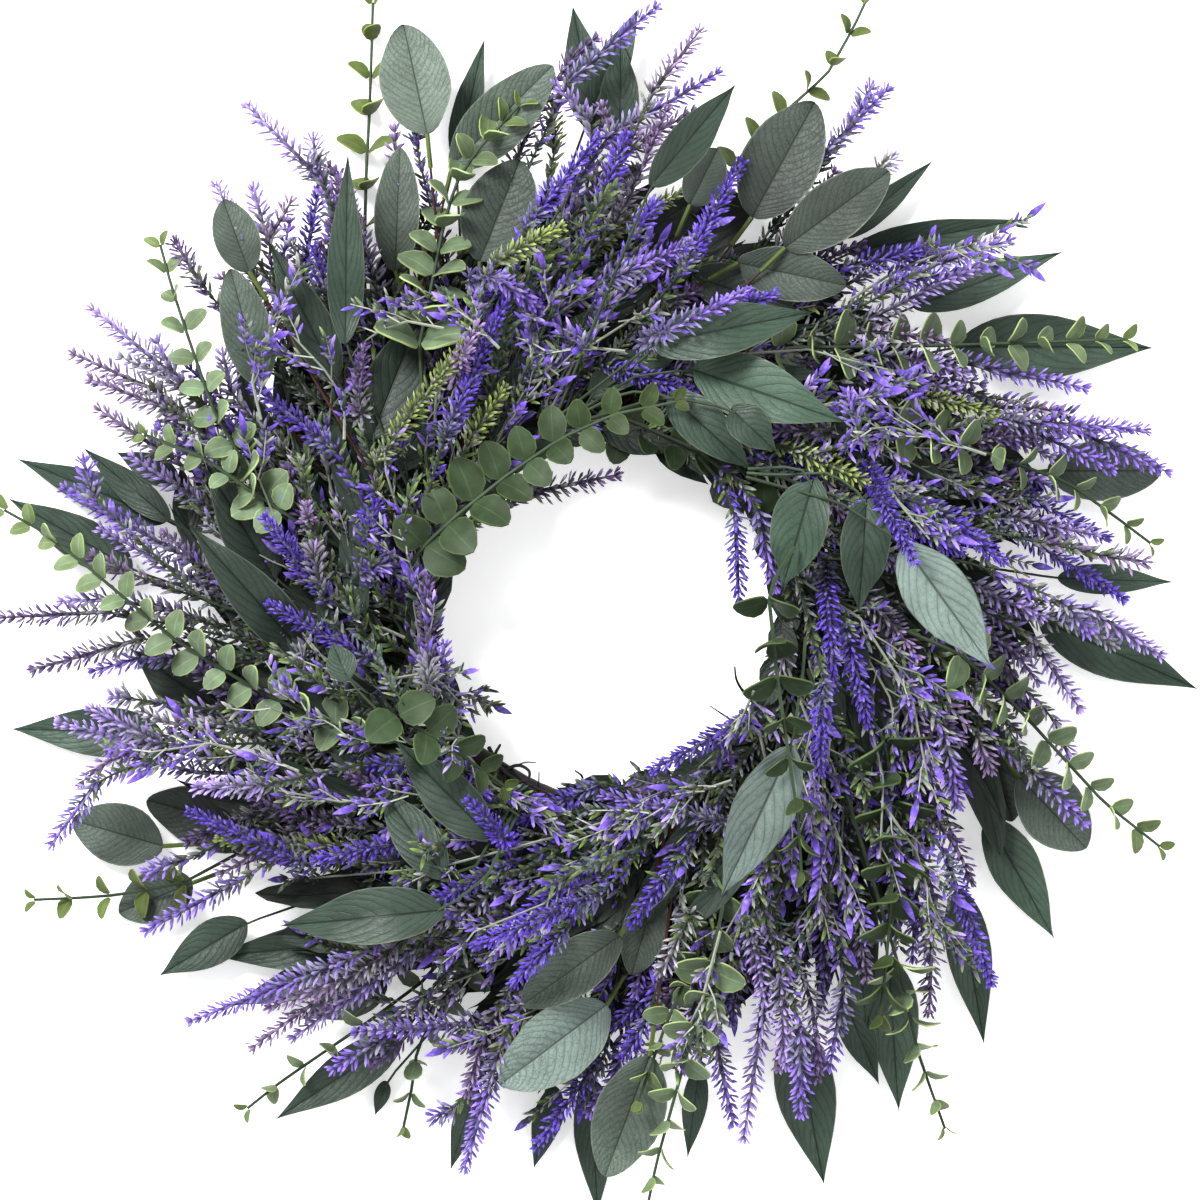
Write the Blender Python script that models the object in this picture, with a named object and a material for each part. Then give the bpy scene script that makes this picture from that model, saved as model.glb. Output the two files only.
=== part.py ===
"""Lavender wreath, lying face up on its vine hoop.

+Z is the wreath's face and +Y its top as it hangs. The origin is the hoop's centre on the
surface that it lies on. The hoop is three vines wound round each other. Bunches of
lavender and sprays of leaves are tied to it, each bunch or spray one solid, and each is
laid on the ones that are already there, from the back of the wreath to its face.
"""

import math
import random

import bmesh
import bpy
import numpy as np
from mathutils import Vector
from mathutils.bvhtree import BVHTree

MM = 0.001

# The face view is a square of SPAN, ruled in FACE_STEPS steps, right and down from its
# top left corner. The tables below give places and widths in these steps.
SPAN = 0.560
FACE_STEPS = 1200
FACE_CENTRE = (604, 616)
STEP = SPAN / FACE_STEPS

HOOP_RADIUS = 0.096
VINE_RADIUS = 0.006
VINE_WIND = 0.0073
VINE_COUNT = 3
VINE_TURNS = 2
VINE_POINTS = 27
VINE_SPLICE = math.radians(3)
PLANED = 0.8 * MM
HOOP_AXIS_Z = VINE_WIND + VINE_RADIUS - PLANED
HOOP_TOP_Z = HOOP_AXIS_Z + VINE_WIND + VINE_RADIUS

# A tie is a flat bundle of stems side by side. It narrows to the middle stem.
TIE_PITCH = 1.9 * MM
TIE_HALF_HEIGHT = 2.0 * MM
TIE_LENGTH = 10 * MM
TIE_SHARE_MOST = 0.3
TIE_TAPER = 1.4

# Stems are square in section. A stem that turns by more than STRAIGHT_ENOUGH has a bend.
STEM_HALF = 0.8 * MM
STEM_EASE = 0.38
STEM_BEND = 0.55
STRAIGHT_ENOUGH = math.radians(28)
RISE_POWER = 1.7
DROOP_POWER = 3
LOWEST_STEM = 4 * MM

# A head's span at its foot, and by how much it swells and narrows towards its tip.
FLORET_SPAN = 7.6 * MM
SPAN_CURVE = (0.8, 0.45, -0.8)
FLORET_REACH = 3.4 * MM
HEAD_CORE = 0.4
FIRST_WHORL = 0.15
WHORL_PITCH = 15 * MM
WHORLS = (2, 5)

# A blade's half width along it is sin(pi * share ** first) ** second.
BLADE_THICKNESS = 1.3 * MM
BLADE_FOLD = 0.24
LANCE_STATIONS = (0.14, 0.38, 0.68)
LANCE_POWERS = (0.75, 0.9)
LANCE_ROLL = 16
OVAL_STATIONS = (0.1, 0.36, 0.74)
OVAL_POWERS = (0.9, 0.6)
OVAL_ROLL = 14

# Each leaf pair of a sprig stands for 1.25 of the pairs that its table row gives.
PAIR_THINNING = 1.25
SPRIG_TAPER = 0.42
LEAFLET_THICKNESS = 0.9 * MM
LEAFLET_FOOT = 1.6 * MM
LEAFLET_WIDEST = 0.5
LEAFLET_HALF_WIDTH = 0.42
LEAFLET_END = 0.5
LEAFLET_SPREAD = math.radians(62)
LEAFLET_LIFT = math.radians(24)

LEAF_ROUGHNESS = 0.6
BARK_ROUGHNESS = 0.85

WELD = 0.05 * MM
SLIVER = 0.0005 * MM
CLEARANCE = 0.4 * MM
JOINED_RUN = 14 * MM
CELL = 1.5 * MM
SAMPLE = 1.0 * MM
MAP_HALF = 0.33
STEEPEST_LIFT = 0.42
SEAT_GAP = 0.6 * MM
SEAT_REACH = 12 * MM
SEAT_ROUNDS = 4
SEATED = 0.05 * MM
SEAT_SAMPLES = 3

# How far a layer's tips stand above or below its ties, and how far they droop.
BACK_FALL = (-15 * MM, 3 * MM)
MIDDLE_RISE = (18 * MM, 10 * MM)
FRONT_RISE = (36 * MM, 14 * MM)
RISE_SCATTER = 8 * MM

# Radii of the three layers' ties round the hoop.
BACK_TIES = 0.104
MIDDLE_TIES = 0.099
FRONT_TIES = 0.094

# Lavender: clock angle of the tie, then each head from its foot to its tip.
LAVENDER_BACK = {
    "lavender_back_12": (328, (
        (568, 82, 659, 3), (605, 140, 722, 70), (650, 98, 702, 28), (591, 122, 551, 82),
        (555, 150, 552, 95), (415, 142, 421, 62), (412, 220, 400, 165))),
    "lavender_back_11": (300, (
        (325, 184, 245, 104), (248, 245, 214, 182), (265, 235, 252, 184),
        (268, 241, 293, 199), (302, 275, 319, 180), (325, 295, 314, 245),
        (333, 240, 338, 168), (318, 172, 313, 135), (203, 287, 173, 239))),
    "lavender_back_10": (276, (
        (184, 384, 87, 305), (163, 394, 69, 352), (178, 413, 87, 378),
        (161, 451, 95, 407), (172, 373, 153, 336), (233, 396, 222, 350))),
    "lavender_back_9": (255, (
        (193, 562, 60, 486), (95, 500, 82, 457), (130, 574, 88, 556),
        (110, 612, -2, 618), (145, 638, 29, 671), (225, 690, 190, 660))),
    "lavender_back_8": (232, (
        (214, 761, 54, 722), (165, 745, 88, 707), (134, 699, 111, 696),
        (99, 780, 48, 847), (184, 860, 142, 875), (240, 880, 142, 933))),
    "lavender_back_7": (184, (
        (350, 958, 186, 1023), (379, 956, 249, 1050), (413, 944, 367, 987),
        (494, 1021, 352, 1032), (383, 1040, 329, 1071), (500, 1050, 463, 1174),
        (455, 1109, 430, 1120), (600, 1059, 534, 1151))),
    "lavender_back_5": (146, (
        (768, 983, 743, 1143), (715, 1036, 734, 1128), (780, 975, 786, 1067),
        (799, 1021, 801, 1117), (734, 963, 730, 1025), (749, 925, 757, 967),
        (661, 983, 611, 1029), (649, 1017, 623, 1059))),
    "lavender_back_4": (112, (
        (914, 883, 929, 963), (933, 906, 929, 1017), (944, 852, 993, 986),
        (826, 849, 823, 1013), (845, 983, 830, 1071))),
    "lavender_back_3": (78, (
        (1032, 638, 1082, 711), (1055, 719, 1074, 768), (1086, 608, 1166, 657),
        (1059, 600, 1090, 634), (1032, 772, 1088, 826), (977, 734, 990, 772),
        (944, 734, 958, 810), (881, 707, 902, 768), (845, 749, 845, 791))),
    "lavender_back_2": (47, (
        (933, 356, 1090, 388), (1000, 420, 1151, 430), (1015, 422, 1116, 470),
        (1082, 432, 1173, 473), (1015, 491, 1112, 539), (994, 516, 1128, 600),
        (1107, 556, 1149, 562))),
    "lavender_back_1": (14, (
        (824, 153, 891, 86), (860, 111, 873, 82), (877, 170, 896, 155),
        (845, 268, 929, 249), (937, 264, 1013, 239), (887, 283, 963, 272))),
}
LAVENDER_FRONT = {
    "lavender_front_12": (322, (
        (526, 230, 600, 137), (600, 205, 628, 135), (495, 266, 564, 228),
        (545, 300, 470, 285))),
    "lavender_front_1": (345, (
        (632, 239, 657, 203), (644, 260, 703, 249), (682, 272, 742, 161),
        (680, 329, 776, 295), (600, 364, 696, 394))),
    "lavender_front_11": (290, (
        (445, 440, 507, 300), (376, 463, 478, 329), (468, 445, 507, 386),
        (530, 493, 621, 474))),
    "lavender_front_10": (262, (
        (337, 452, 252, 386), (330, 600, 265, 516), (367, 536, 378, 500),
        (432, 690, 428, 575), (440, 688, 445, 642))),
    "lavender_front_9": (228, (
        (372, 660, 268, 603), (409, 765, 367, 765), (471, 776, 440, 761),
        (268, 784, 195, 787), (421, 837, 314, 860), (314, 868, 187, 810),
        (509, 830, 469, 799))),
    "lavender_front_7": (166, (
        (600, 784, 513, 826), (509, 864, 392, 922), (600, 856, 509, 925),
        (600, 891, 474, 944), (566, 925, 513, 983))),
    "lavender_front_6": (114, (
        (684, 849, 630, 925), (757, 713, 650, 771), (726, 822, 600, 795),
        (787, 833, 753, 868))),
    "lavender_front_4": (70, (
        (825, 560, 832, 690), (822, 680, 818, 773), (845, 623, 868, 726))),
    "lavender_front_2": (30, (
        (864, 471, 918, 563), (900, 520, 959, 553), (929, 507, 1003, 562),
        (830, 432, 755, 431), (858, 434, 845, 392), (735, 515, 739, 602),
        (757, 510, 776, 593), (768, 457, 831, 485), (791, 451, 868, 484))),
}

# Leaves: clock angle of the tie, then each blade from its foot to its tip, and its width.
LANCE_BACK = {
    "lance_back_12": (325, (
        (455, 160, 484, 33, 30), (597, 130, 572, 0, 45), (620, 135, 621, 34, 40),
        (590, 110, 640, 2, 35))),
    "lance_back_1": (18, (
        (845, 235, 937, 156, 25), (850, 250, 1031, 216, 36), (915, 305, 1067, 249, 40),
        (960, 345, 1159, 346, 66))),
    "lance_back_3": (72, (
        (1060, 578, 1178, 582, 30), (1042, 620, 1203, 690, 55), (990, 820, 1058, 942, 50),
        (960, 890, 987, 1048, 45), (890, 960, 901, 1116, 52))),
    "lance_back_5": (130, (
        (850, 870, 868, 1030, 50), (845, 1000, 881, 1088, 35), (795, 1030, 826, 1190, 60),
        (700, 1070, 688, 1163, 25))),
    "lance_back_6": (178, (
        (590, 1080, 598, 1222, 40), (555, 1090, 533, 1174, 30), (475, 1090, 449, 1176, 25),
        (385, 1085, 373, 1120, 15))),
    "lance_back_7": (196, (
        (400, 1040, 272, 1124, 45), (385, 985, 298, 1022, 40), (370, 960, 226, 1010, 40),
        (365, 945, 207, 959, 45), (245, 925, 155, 979, 45))),
    "lance_back_9": (240, (
        (160, 735, 5, 730, 50), (215, 710, 128, 650, 55))),
    "lance_back_10": (262, (
        (165, 520, 11, 457, 40), (168, 520, 79, 446, 30), (175, 480, 113, 451, 30),
        (190, 545, 177, 462, 30), (130, 570, 3, 497, 45))),
}
LANCE_MIDDLE = {
    "lance_front_11": (298, (
        (346, 345, 349, 154, 37), (337, 380, 270, 243, 45), (372, 440, 424, 305, 58))),
    "lance_front_10": (268, (
        (275, 580, 206, 463, 55), (306, 655, 188, 523, 50))),
}
LANCE_FRONT = {
    "lance_front_1": (348, (
        (692, 370, 844, 424, 64), (668, 395, 751, 471, 45), (730, 410, 775, 453, 40),
        (651, 346, 814, 313, 52), (650, 190, 737, 84, 42))),
    "lance_front_3": (45, (
        (812, 480, 781, 590, 58), (865, 500, 857, 612, 50), (900, 545, 990, 668, 65))),
    "lance_front_5": (96, (
        (790, 745, 720, 898, 62),)),
    "lance_front_8": (205, (
        (445, 908, 281, 925, 57), (490, 835, 396, 740, 50), (445, 875, 379, 785, 45),
        (350, 680, 333, 641, 30))),
}
OVAL_BACK = {
    "oval_8": (222, (
        (160, 848, 68, 822, 62), (270, 835, 143, 802, 65), (190, 885, 115, 915, 55))),
    "oval_3": (60, (
        (1050, 470, 1166, 470, 60), (985, 722, 1015, 823, 55), (1022, 778, 1090, 850, 68))),
}
OVAL_MIDDLE = {
    "oval_11": (318, (
        (427, 134, 403, 23, 71), (452, 166, 553, 66, 60), (480, 262, 520, 160, 75),
        (395, 270, 400, 147, 45))),
    "oval_10": (292, (
        (250, 272, 224, 201, 45), (262, 385, 232, 270, 50))),
    "oval_1": (2, (
        (752, 217, 815, 102, 78), (690, 205, 718, 148, 45), (785, 248, 889, 171, 60),
        (738, 263, 846, 286, 53), (690, 275, 793, 310, 50))),
    "oval_6": (160, (
        (655, 890, 632, 975, 45), (620, 935, 522, 1005, 55), (607, 1005, 500, 1085, 75),
        (650, 1055, 605, 1178, 70))),
}

# Eucalyptus: clock angle of the tie, then each sprig's leaf width, the spacing of its
# leaf pairs and the places that its stem runs through.
EUCALYPTUS_BACK = {
    "eucalyptus_9": (232, (
        (30, 46, (180, 885), (115, 897), (77, 900), (30, 902)),)),
    "eucalyptus_7": (190, (
        (30, 48, (420, 985), (348, 1038), (291, 1076), (245, 1112)),
        (30, 48, (467, 967), (417, 1048), (411, 1090), (402, 1132)))),
    "eucalyptus_11": (308, (
        (36, 46, (362, 300), (364, 180), (368, 100), (371, -2)),)),
    "eucalyptus_1": (350, (
        (30, 46, (667, 247), (717, 195), (764, 122), (814, 90), (852, 29), (867, -2)),)),
}
EUCALYPTUS_MIDDLE = {
    "eucalyptus_10": (280, (
        (34, 50, (265, 500), (214, 410), (191, 344), (172, 287), (160, 245)),
        (30, 50, (280, 510), (203, 457), (145, 435)))),
    "eucalyptus_8": (246, (
        (36, 50, (394, 745), (306, 715), (190, 650), (115, 590), (54, 540), (3, 510)),)),
    "eucalyptus_2": (22, (
        (38, 48, (780, 348), (950, 345), (1125, 339)),
        (32, 50, (900, 430), (986, 453), (1068, 482), (1116, 516), (1152, 543)))),
    "eucalyptus_3": (84, (
        (34, 50, (960, 654), (1021, 711), (1059, 753), (1105, 803), (1161, 847)),)),
    "eucalyptus_4": (104, (
        (46, 54, (885, 742), (893, 830), (887, 944), (879, 1015)),
        (32, 50, (898, 964), (918, 1051), (933, 1094), (946, 1130)))),
    "eucalyptus_5": (138, (
        (34, 50, (717, 898), (692, 964), (665, 1025), (638, 1101)),
        (34, 54, (711, 967), (688, 1048), (661, 1143), (648, 1205)))),
    "eucalyptus_12": (305, (
        (42, 42, (420, 345), (435, 270), (450, 200), (470, 160), (520, 105)),)),
    "eucalyptus_inner_1": (356, (
        (34, 44, (620, 432), (700, 452), (750, 478)),
        (30, 46, (765, 480), (866, 515)))),
}
EUCALYPTUS_FRONT = {
    "eucalyptus_inner_11": (284, (
        (46, 44, (425, 545), (470, 505), (536, 455), (600, 420), (676, 403)),)),
    "eucalyptus_inner_3": (70, (
        (36, 50, (768, 600), (780, 711), (795, 803), (800, 870)),)),
    "eucalyptus_inner_8": (252, (
        (52, 50, (400, 715), (430, 735), (470, 755), (505, 785)),)),
}

COLOURS = {
    "vine": (0.045, 0.026, 0.018, 1.0),
    "lavender_back": (0.26, 0.19, 0.52, 1.0),
    "lavender_front": (0.15, 0.09, 0.62, 1.0),
    "lance": (0.035, 0.085, 0.068, 1.0),
    "oval": (0.085, 0.135, 0.105, 1.0),
    "eucalyptus": (0.17, 0.28, 0.15, 1.0),
}


def clear_scene():
    for obj in list(bpy.data.objects):
        bpy.data.objects.remove(obj, do_unlink=True)


def new_collection(name):
    collection = bpy.data.collections.new(name)
    bpy.context.scene.collection.children.link(collection)
    return collection


def material(name, roughness=LEAF_ROUGHNESS):
    found = bpy.data.materials.get(name)
    if found:
        return found
    made = bpy.data.materials.new(name)
    made.use_nodes = True
    shader = made.node_tree.nodes["Principled BSDF"]
    shader.inputs["Base Color"].default_value = COLOURS[name]
    shader.inputs["Roughness"].default_value = roughness
    shader.inputs["Metallic"].default_value = 0.0
    made.diffuse_color = COLOURS[name]
    return made


def at(across, down):
    """A place of the face view, in metres from the hoop's axis."""
    x = (across - FACE_CENTRE[0]) * STEP
    y = (FACE_CENTRE[1] - down) * STEP
    return np.array((x, y))


def on_ring(clock, radius):
    """A place at a clock angle, in degrees clockwise from the top."""
    angle = math.radians(clock)
    return np.array((math.sin(angle), math.cos(angle))) * radius


def unit(vector):
    return vector / max(np.linalg.norm(vector), 1e-9)


def bezier(start, leave, arrive, end, t):
    s = 1 - t
    return s**3 * start + 3 * s * s * t * leave + 3 * s * t * t * arrive + t**3 * end


def through(points, count):
    """Evenly numbered points of a smooth curve through the given ones."""
    points = [2 * points[0] - points[1], *points, 2 * points[-1] - points[-2]]
    spans = len(points) - 3
    curve = []
    for k in range(count):
        place = k * spans / (count - 1)
        span = min(int(place), spans - 1)
        t = place - span
        a, b, c, d = points[span:span + 4]
        leave = b + (c - a) / 6
        arrive = c - (d - b) / 6
        curve.append(bezier(b, leave, arrive, c, t))
    return curve


def stem_plan(root, foot, tip, tie_half):
    """The stem's places in plan, from its tie up to the foot of what it carries."""
    length = np.linalg.norm(foot - root)
    leave = root + (foot - root) * STEM_EASE
    arrive = foot - unit(tip - foot) * length * STEM_EASE
    shares = [0]
    if tie_half:
        end = min(TIE_LENGTH / length, TIE_SHARE_MOST)
        shares += [end, end * TIE_TAPER]
    if np.dot(unit(foot - root), unit(tip - foot)) < math.cos(STRAIGHT_ENOUGH):
        shares.append(STEM_BEND)
    return [bezier(root, leave, arrive, foot, share) for share in shares]


def raised(plan, seat_z, rise, droop):
    """Plan points given their natural heights, and the run along them."""
    steps = [np.linalg.norm(b - a) for a, b in zip(plan, plan[1:])]
    run = np.concatenate(((0.0,), np.cumsum(steps)))
    share = run / run[-1]
    height = seat_z + rise * (1 - (1 - share) ** RISE_POWER) - droop * share**DROOP_POWER
    points = np.column_stack((np.array(plan), np.maximum(height, LOWEST_STEM)))
    return points, run


def frames(points):
    """Forward, side and up at each point of a path."""
    forward = np.gradient(points, axis=0)
    forward /= np.linalg.norm(forward, axis=1)[:, None]
    side = np.cross(forward, (0.0, 0.0, 1.0))
    side /= np.linalg.norm(side, axis=1)[:, None]
    return forward, side, np.cross(side, forward)


class Shape:
    """A closed solid as points, triangles, and each point's run along its stem."""

    def __init__(self):
        self.points = []
        self.runs = []
        self.faces = []

    def ring(self, points, run):
        first = len(self.points)
        self.points.extend(points)
        self.runs.extend([run] * len(points))
        return list(range(first, first + len(points)))

    def cap(self, ring):
        for k in range(1, len(ring) - 1):
            self.faces.append((ring[0], ring[k], ring[k + 1]))

    def join(self, a, b, open_sides=()):
        """Skin between two rings, but for the sides that something grows from."""
        for k in range(len(a)):
            m = (k + 1) % len(a)
            if k not in open_sides:
                self.faces += [(a[k], a[m], b[m]), (a[k], b[m], b[k])]

    def close(self, ring, point, run):
        (tip,) = self.ring([point], run)
        for k in range(len(ring)):
            self.faces.append((ring[k], ring[(k + 1) % len(ring)], tip))

    def outward(self):
        """The solid with its faces pointing out."""
        points = np.array(self.points)
        faces = np.array(self.faces)
        a, b, c = (points[faces[:, k]] for k in range(3))
        if np.einsum("ij,ij->", a, np.cross(b, c)) < 0:
            faces = faces[:, ::-1]
        return points, faces, np.array(self.runs)


def stem_ring(centre, side, up, half_width=STEM_HALF, half_height=STEM_HALF):
    """A section with flat sides left and right, its lower left corner first."""
    side = side * half_width
    up = up * half_height
    return [centre - side - up, centre + side - up, centre + side + up,
            centre - side + up]


def start_stem(shape, points, runs, side, up, tie_half, count):
    """The first rings of a stem. The one that holds a bunch's tie starts wide."""
    rings = []
    for k in range(count):
        size = (tie_half, TIE_HALF_HEIGHT) if tie_half and k < 2 else ()
        rings.append(shape.ring(stem_ring(points[k], side[k], up[k], *size), runs[k]))
    shape.cap(rings[0][::-1])
    for a, b in zip(rings, rings[1:]):
        shape.join(a, b)
    return rings


def whorl_ring(centre, forward, side, up, span, turn):
    """One pair of florets that point out and forward, with the core between them."""
    ring = []
    for k in range(4):
        angle = math.tau * (k - 1.5) / 4
        spoke = math.cos(angle) * side + math.sin(angle) * up
        out = (k + turn) % 2 == 0
        ring.append(centre + spoke * span * (1 if out else HEAD_CORE)
                    + forward * (FLORET_REACH if out else 0))
    return ring


def lavender_head(root, seat_z, layer, row, tie_half):
    """A bare stem, then pairs of florets set crosswise, up to a pointed tip."""
    foot, tip = at(*row[:2]), at(*row[2:4])
    length = np.linalg.norm(tip - foot)
    whorls = int(np.clip(round(length / WHORL_PITCH), *WHORLS))
    stem = stem_plan(root, foot, tip, tie_half)
    head = [foot + (tip - foot) * (k + FIRST_WHORL) / whorls for k in range(whorls)]
    points, runs = raised([*stem, *head, tip], seat_z, *layer)
    forward, side, up = frames(points)
    shape = Shape()
    rings = start_stem(shape, points, runs, side, up, tie_half, len(stem))
    for k in range(whorls):
        here = len(stem) + k
        share = k / whorls
        span = FLORET_SPAN * np.polynomial.polynomial.polyval(share, SPAN_CURVE)
        ring = whorl_ring(points[here], forward[here], side[here], up[here], span, k)
        rings.append(shape.ring(ring, runs[here]))
        shape.join(rings[-2], rings[-1])
    shape.close(rings[-1], points[-1], runs[-1])
    return shape.outward()


def blade_ring(centre, side, up, half, thickness, fold):
    """A blade's section: two thin edges raised above a thicker middle."""
    edge = up * half * fold
    return [centre - side * half + edge, centre - up * thickness / 2,
            centre + side * half + edge, centre + up * thickness / 2]


def lance_width(share):
    along, swell = LANCE_POWERS
    return math.sin(math.pi * share**along) ** swell


def oval_width(share):
    along, swell = OVAL_POWERS
    return math.sin(math.pi * share**along) ** swell


def leaf(root, seat_z, layer, row, tie_half, stations, width_at, roll):
    """A petiole that widens into a folded blade with a pointed tip."""
    foot, tip = at(*row[:2]), at(*row[2:4])
    half = row[4] * STEP / 2
    stem = stem_plan(root, foot, tip, tie_half)
    blade = [foot + (tip - foot) * share for share in (0, *stations)]
    points, runs = raised([*stem, *blade, tip], seat_z, *layer)
    _, side, up = frames(points)
    shape = Shape()
    rings = start_stem(shape, points, runs, side, up, tie_half, len(stem) + 1)
    for k, share in enumerate(stations, len(stem) + 1):
        across = math.cos(roll) * side[k] + math.sin(roll) * up[k]
        over = math.cos(roll) * up[k] - math.sin(roll) * side[k]
        ring = blade_ring(points[k], across, over, half * width_at(share),
                          BLADE_THICKNESS, BLADE_FOLD)
        rings.append(shape.ring(ring, runs[k]))
        shape.join(rings[-2], rings[-1])
    shape.close(rings[-1], points[-1], runs[-1])
    return shape.outward()


def leaflet(shape, base, foot, forward, side, up, hand, length, run):
    """One small round leaf, grown out of one side of its stem."""
    out = math.sin(LEAFLET_SPREAD) * hand * side + math.cos(LEAFLET_SPREAD) * forward
    along = math.cos(LEAFLET_LIFT) * out + math.sin(LEAFLET_LIFT) * up
    ahead = unit(np.cross(up, out)) * hand
    over = unit(np.cross(along, ahead)) * hand
    widest = foot + along * length * LEAFLET_WIDEST
    wide = ahead * length * LEAFLET_HALF_WIDTH
    thick = over * LEAFLET_THICKNESS / 2
    ring = shape.ring([widest - wide - thick, widest + wide - thick,
                       widest + wide + thick, widest - wide + thick], run)
    end = foot + along * length
    back, front = shape.ring([end - wide * LEAFLET_END, end + wide * LEAFLET_END], run)
    faces = [(ring[0], ring[1], front), (ring[0], front, back), (ring[1], ring[2], front),
             (ring[2], ring[3], back), (ring[2], back, front), (ring[3], ring[0], back)]
    if hand > 0:
        shape.join(base[::-1], ring[::-1])
        faces = [face[::-1] for face in faces]
    else:
        shape.join(base, ring)
    shape.faces += faces


def sprig(root, seat_z, layer, row, tie_half):
    """A stem with pairs of round leaves, smaller towards its tip."""
    width, pitch, *places = row
    places = [at(*place) for place in places]
    stem = stem_plan(root, places[0], places[1], tie_half)
    length = sum(np.linalg.norm(b - a) for a, b in zip(places, places[1:]))
    pairs = max(2, round(length / (pitch * STEP * PAIR_THINNING)))
    plan = [*stem, *through(places, pairs + 1)]
    points, runs = raised(plan, seat_z, *layer)
    forward, side, up = frames(points)
    shape = Shape()
    rings = start_stem(shape, points, runs, side, up, tie_half, len(stem))
    last = rings[-1]
    for k in range(pairs):
        here = len(stem) + k
        run = runs[here]
        ends = []
        for reach in (-LEAFLET_FOOT / 2, LEAFLET_FOOT / 2):
            centre = points[here] + forward[here] * reach
            ends.append(shape.ring(stem_ring(centre, side[here], up[here]), run))
        shape.join(last, ends[0])
        shape.join(ends[0], ends[1], open_sides=(1, 3))
        size = width * STEP * (1 - SPRIG_TAPER * k / pairs)
        right = [ends[0][1], ends[1][1], ends[1][2], ends[0][2]]
        left = [ends[0][0], ends[1][0], ends[1][3], ends[0][3]]
        for hand, base in ((1, right), (-1, left)):
            leaflet(shape, base, points[here], forward[here], side[here], up[here],
                    hand, size, run)
        last = ends[1]
    shape.close(last, points[-1], runs[-1])
    return shape.outward()


def spread(points, faces):
    """Sample points over the triangles, at most SAMPLE apart."""
    corners = points[faces]
    edges = [np.linalg.norm((corners[:, k] - corners[:, k - 1])[:, :3], axis=1)
             for k in range(3)]
    counts = np.maximum(np.ceil(np.max(edges, axis=0) / SAMPLE), 1).astype(int)
    clouds = []
    for n in np.unique(counts):
        chosen = corners[counts == n]
        weights = [(i / n, j / n, (n - i - j) / n)
                   for i in range(n + 1) for j in range(n + 1 - i)]
        cloud = np.einsum("wc,tcd->twd", np.array(weights), chosen)
        clouds.append(cloud.reshape(-1, points.shape[1]))
    return np.concatenate(clouds)


class HeightMap:
    """The top of everything laid so far, over a grid of cells."""

    def __init__(self):
        self.cells = int(2 * MAP_HALF / CELL)
        self.top = np.zeros((self.cells, self.cells))
        self.wide = self.top

    def index(self, cloud):
        place = ((cloud[:, :2] + MAP_HALF) / CELL).astype(int)
        return place[:, 0], place[:, 1]

    def add(self, cloud):
        np.maximum.at(self.top, self.index(cloud), cloud[:, 2])

    def widened(self):
        """The map with each cell as high as the highest round it."""
        padded = np.pad(self.top, 1)
        size = self.cells
        shifts = [padded[i:i + size, j:j + size] for i in range(3) for j in range(3)]
        return np.max(shifts, axis=0)


def lift_needed(shape, ground, siblings):
    """How far each run along the stem has to rise to clear what lies below it.

    Near the tie a stem is joined to the others of its bunch, so it clears them only
    past JOINED_RUN.
    """
    points, faces, runs = shape
    knots = np.unique(np.round(runs, 7))
    needed = np.zeros(len(knots))
    cloud = spread(np.column_stack((points, runs)), faces)
    cells = ground.index(cloud)
    below = ground.wide[cells]
    own = np.where(cloud[:, 3] > JOINED_RUN, siblings.widened()[cells], 0.0)
    short = np.maximum(below, own) + CLEARANCE - cloud[:, 2]
    after = np.clip(np.searchsorted(knots, cloud[:, 3] - 1e-7), 0, len(knots) - 1)
    before = np.clip(np.searchsorted(knots, cloud[:, 3] + 1e-7) - 1, 0, len(knots) - 1)
    np.maximum.at(needed, after, short)
    np.maximum.at(needed, before, short)
    return knots, needed


def eased(knots, needed):
    """The needed lifts with ramps no steeper than STEEPEST_LIFT."""
    apart = np.abs(knots[:, None] - knots[None, :])
    return np.max(needed[None, :] - STEEPEST_LIFT * apart, axis=1)


def lay(shapes, ground):
    """Lift a bunch's stems clear of what lies below and of each other past their tie."""
    ground.wide = ground.widened()
    nothing = HeightMap()
    root_lift = max(eased(*lift_needed(shape, ground, nothing))[0] for shape in shapes)
    siblings = HeightMap()
    laid = []
    for shape in shapes:
        points, faces, runs = shape
        knots, needed = lift_needed(shape, ground, siblings)
        needed[0] = root_lift
        lifts = eased(knots, needed)
        lifts[0] = root_lift
        moved = points.copy()
        moved[:, 2] += np.interp(runs, knots, lifts)
        laid.append((moved, faces))
        cloud = spread(np.column_stack((moved, runs)), faces)
        siblings.add(cloud[cloud[:, 3] > JOINED_RUN])
    return laid


def mesh_object(name, points, faces, collection):
    mesh = bpy.data.meshes.new(name)
    mesh.from_pydata(points.tolist(), [], faces.tolist())
    obj = bpy.data.objects.new(name, mesh)
    collection.objects.link(obj)
    return obj


def mesh_arrays(mesh):
    mesh.calc_loop_triangles()
    points = np.array([v.co[:] for v in mesh.vertices])
    faces = np.array([t.vertices[:] for t in mesh.loop_triangles])
    return points, faces


def evaluated_mesh(obj):
    graph = bpy.context.evaluated_depsgraph_get()
    return bpy.data.meshes.new_from_object(obj.evaluated_get(graph))


def is_closed(mesh):
    bm = bmesh.new()
    bm.from_mesh(mesh)
    closed = all(len(edge.link_faces) == 2 for edge in bm.edges)
    bm.free()
    return closed


def cleaned(mesh):
    """The mesh in triangles, without the slivers that a union leaves."""
    bm = bmesh.new()
    bm.from_mesh(mesh)
    bmesh.ops.remove_doubles(bm, verts=bm.verts, dist=SLIVER)
    bmesh.ops.dissolve_degenerate(bm, edges=bm.edges, dist=SLIVER)
    bmesh.ops.triangulate(bm, faces=bm.faces)
    bm.to_mesh(mesh)
    bm.free()
    return mesh


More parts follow.
